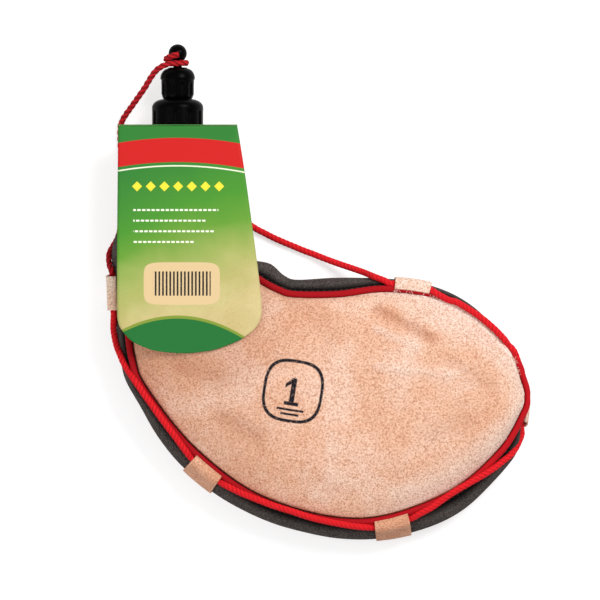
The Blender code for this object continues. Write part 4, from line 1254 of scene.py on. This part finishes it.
def helix(name, body, *, radius, ridge, start, pitch):
    """A screw thread's ridge, wound down from its start."""
    turns = 1.6
    steps = 48
    points = []
    for step in range(int(steps * turns) + 1):
        points.append(about_neck(radius, 2 * math.pi * step / steps, start - pitch * step / steps))
    add_piece(name, tube_mesh(name, points, ridge, 10), PLASTIC, body, "black_plastic")


def filler_neck():
    """The neck that the collar screws on: its wall, its flange and its barrel with two ridges."""
    foot = CLEARANCE - BARREL_LENGTH
    rim = FILLER_WALL - RIM_ROUNDING
    profile = [(FILLER_BORE, FILLER_RIM), (rim, FILLER_RIM)]
    profile += arc(rim, FILLER_RIM - RIM_ROUNDING, RIM_ROUNDING, 80, 0, 4)
    profile += wall_down(FILLER_WALL, FILLER_RIM - 0.0006, FLANGE_TOP, 0.002)
    profile += upper_corner(FLANGE_RADIUS, FLANGE_TOP, 0.0004)
    profile += lower_corner(FLANGE_RADIUS, CLEARANCE, 0.0004)
    profile.append((BARREL_RADIUS, CLEARANCE))
    for share in (0.35, 0.65):
        height = CLEARANCE - BARREL_LENGTH * share
        for lift, ridge in ((0.0006, 0.0), (0.0, BARREL_RIDGE), (-0.0006, 0.0)):
            profile.append((BARREL_RADIUS + ridge, height + lift))
    profile += lower_corner(BARREL_RADIUS, foot, 0.0006) + [(FILLER_BORE, foot)]
    turned_part("filler_neck", profile, 72, "bag", "neck_base")
    start = FILLER_RIM - 0.0014
    helix("filler_thread", "bag", radius=FILLER_WALL, ridge=0.0006, start=start, pitch=0.0040)


def collar():
    """The fluted collar with its shoulder, its bore and the drinking spout on it."""
    ceiling = FILLER_RIM + 2 * CLEARANCE + SEAL_THICKNESS
    profile = [(JET_RADIUS, SPOUT_TOP)]
    profile += upper_corner(SPOUT_RADIUS, SPOUT_TOP, 0.0008, 5)
    profile += wall_down(SPOUT_RADIUS, SPOUT_TOP - 0.0009, COLLAR_TOP + 0.0004, 0.003)
    profile.append((0.0074, COLLAR_TOP))
    profile += shoulder(COLLAR_MOUTH, COLLAR_RADIUS, COLLAR_TOP - COLLAR_SHOULDER, COLLAR_TOP)
    profile += wall_down(COLLAR_RADIUS, COLLAR_TOP - 0.0060, COLLAR_BASE + 0.0007)
    profile += lower_corner(COLLAR_RADIUS, COLLAR_BASE, 0.0006)
    profile += [(COLLAR_BORE, COLLAR_BASE), (COLLAR_BORE, ceiling), (WELL_RADIUS, ceiling)]
    profile += [(WELL_RADIUS, COLLAR_TOP), (JET_RADIUS, SPOUT_TOP - 0.0030)]
    top = COLLAR_BASE + 0.0110
    flutes = flute_groove(12, COLLAR_RADIUS, size=0.0034, depth=0.0010, top=top, inner=0.0135)
    turned_part("ribbed_collar", profile, 360, "collar", "spout_collar", flutes)
    radius, start = SPOUT_RADIUS + 0.0001, COLLAR_TOP + 0.0075
    helix("spout_thread", "collar", radius=radius, ridge=0.0004, start=start, pitch=0.0030)


def cap():
    """The fluted cap with its ball knob and its bore."""
    roof = SPOUT_TOP + 2 * CLEARANCE + SEAL_THICKNESS
    ball_foot = -math.degrees(math.acos(KNOB_NECK_RADIUS / KNOB_RADIUS))
    edge = CAP_CROWN - 0.0006
    profile = arc(0.0, KNOB_CENTRE, KNOB_RADIUS, 90, ball_foot, 24)
    profile += arc(KNOB_NECK_RADIUS + 0.0008, CAP_CROWN + 0.0007, 0.0008, 180, 270, 4)
    profile += arc(CAP_CROWN_RADIUS, edge, 0.0005, 90, 60, 2)
    profile += shoulder(CAP_CROWN_RADIUS, CAP_SHOULDER_RADIUS, CAP_SHOULDER, edge)[1:]
    profile.append((CAP_SHOULDER_RADIUS, CAP_SHOULDER - 0.0003))
    profile.append((CAP_SHOULDER_RADIUS - 0.0003, CAP_SHOULDER - 0.0006))
    profile += wall_down(CAP_RADIUS, CAP_SHOULDER - 0.0009, CAP_BASE + 0.0032)
    profile += [(0.0103, CAP_BASE + 0.0016), (0.0098, CAP_BASE + 0.0004), (0.0095, CAP_BASE)]
    profile += [(CAP_BORE, CAP_BASE), (CAP_BORE, roof), (0.0, roof)]
    top = CAP_SHOULDER - 0.0008
    flutes = flute_groove(10, CAP_RADIUS, size=0.0040, depth=0.0008, top=top, inner=0.0090)
    turned_part("fluted_cap", profile, 320, "cap", "screw_cap", flutes, closed=False)


def cover_node(name, finish):
    """Gives a solid that stays as it is its finish."""
    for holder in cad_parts[name].material_slots:
        holder.material = finish


# ---------------------------------------------------------------- hang tag
CARD_THICKNESS = 0.0005
TAG_CREASE = Vector((NECK_X, NECK_TOP + FLANGE_TOP + CLEARANCE + CARD_THICKNESS / 2, 0.0421))
TAG_LENGTH = 0.1505
TAG_TOP_WIDTH = 0.0784
TAG_LEFT = -0.0386
TAG_TILT = math.radians(2.2)
# The front leaf's outline in shares of its width and length, from the fold's left end to its right
TAG_SHARES = [
    (0.000, 0.000), (-0.007, 0.460), (-0.008, 0.655), (-0.006, 0.817), (0.000, 0.853),
    (0.020, 0.884), (0.068, 0.918), (0.131, 0.947), (0.262, 0.977), (0.364, 0.988),
    (0.492, 0.993), (0.620, 0.993), (0.727, 0.987), (0.833, 0.976), (1.005, 0.942),
    (1.080, 0.918), (1.143, 0.891), (1.186, 0.859), (1.204, 0.825), (1.205, 0.795),
    (1.199, 0.739), (1.160, 0.572), (1.068, 0.221), (1.000, 0.000),
]
TAG_ACROSS_STEPS = 40
TAG_DOWN_STEPS = 150


def tag_edge(down, points):
    """How far across the tag's edge lies at this share of its length."""
    for (x0, y0), (x1, y1) in zip(points, points[1:]):
        if y0 <= down <= y1:
            return blend(x0, x1, (down - y0) / (y1 - y0)) if y1 > y0 else x0
    return points[-1][0]


def smooth_outline(points):
    guides = [Vector(point) for point in points]
    return [tuple(on_curve(guides, step / 8)) for step in range(8 * (len(guides) - 1) + 1)]


def hang_tag():
    """The tag's printed front leaf, bare behind, slightly bowed and raised from its fold on."""
    low = max(range(len(TAG_SHARES)), key=lambda index: TAG_SHARES[index][1])
    left = smooth_outline(TAG_SHARES[: low + 1])
    right = smooth_outline(TAG_SHARES[low:][::-1])
    cosine = math.cos(TAG_TILT)
    sine = math.sin(TAG_TILT)
    rows = []
    marks = []
    for step in range(TAG_DOWN_STEPS + 1):
        down = math.sin(math.pi / 2 * step / TAG_DOWN_STEPS)
        away = down * TAG_LENGTH
        row = []
        mark = []
        for share in shares(TAG_ACROSS_STEPS):
            x = blend(tag_edge(down, left), tag_edge(down, right), share) * TAG_TOP_WIDTH
            bow = -0.0005 * math.sin(math.pi * down) + 0.0004 * (2 * share - 1) ** 2 * down
            y = -CARD_THICKNESS / 2 - CLEARANCE - away * cosine - bow * sine
            z = away * sine + bow * cosine
            row.append(TAG_CREASE + Vector((TAG_LEFT + x, y, z)))
            mark.append((x / MM, away / MM, 0.0))
        rows.append(row)
        marks.append(mark)
    mesh = skin("printed_tag", rows, marks=marks)
    piece = add_piece("printed_tag", mesh, PRINT, "tag_leaf", "printed_card", "hang_tag_front")
    piece.data.materials.append(CARD)
    thicken(piece, CARD_THICKNESS, 0.0)
    for face in piece.data.polygons:
        if face.normal.z < -0.5:
            face.material_index = 1


# ---------------------------------------------------------------- floor and light
FLOOR_GLOW = 0.57


def floor():
    """A white floor that glows a little to the camera, so that it shows as white as the photo's."""
    bpy.ops.mesh.primitive_plane_add(size=6.0, location=(0.0, 0.0, -0.0002))
    ground = bpy.context.object
    ground.name = "floor"
    white = Finish("floor_white", roughness=1.0, specular=0.0)
    white.shader.inputs["Base Color"].default_value = grey(0.62)
    rays = white.add("ShaderNodeLightPath").outputs
    seen = Value(rays["Is Camera Ray"]).most(rays["Is Glossy Ray"])
    glow = white.add("ShaderNodeEmission", {"Strength": seen * FLOOR_GLOW})
    both = white.add("ShaderNodeAddShader", {0: white.shader.outputs[0], 1: glow.outputs[0]})
    white.tree.links.new(both.outputs[0], white.tree.nodes["Material Output"].inputs["Surface"])
    ground.data.materials.append(white.material)


def lamp(name, place, size, watts):
    light = bpy.data.lights.new(name, "AREA")
    light.size = size
    light.energy = watts
    holder = bpy.data.objects.new(name, light)
    holder.location = place
    holder.rotation_euler = (-Vector(place)).to_track_quat("-Z", "Y").to_euler()
    bpy.context.scene.collection.objects.link(holder)


def lights():
    """Two lamps aimed at the bag, and a sky that is brighter to the camera than to the bag."""
    lamp("key_light", (0.75, 0.75, 1.35), size=0.7, watts=20.5)
    lamp("fill_light", (-0.9, -0.3, 1.1), size=1.0, watts=6.0)
    world = bpy.data.worlds.new("studio")
    bpy.context.scene.world = world
    world.use_nodes = True
    tree = world.node_tree
    back = tree.nodes["Background"]
    back.inputs["Color"].default_value = grey(1.0)
    ray = add_node(tree, "ShaderNodeLightPath").outputs["Is Camera Ray"]
    strength = add_node(tree, "ShaderNodeMapRange", {"Value": ray, "To Min": 0.5, "To Max": 1.0})
    tree.links.new(strength.outputs[0], back.inputs["Strength"])


camera()
long_cord()
neck_binding()
knob_loop()
panels()
gusset()
pipings()
for keeper_name, settings in KEEPERS.items():
    keeper(keeper_name, *settings)
stitches()
edge_fibres()
bladder()
filler_neck()
collar()
cap()
cover_node("collar_gasket", RUBBER)
cover_node("cap_seal", RUBBER)
hang_tag()
cover_node("hang_tag_flap", FOLD)
floor()
lights()
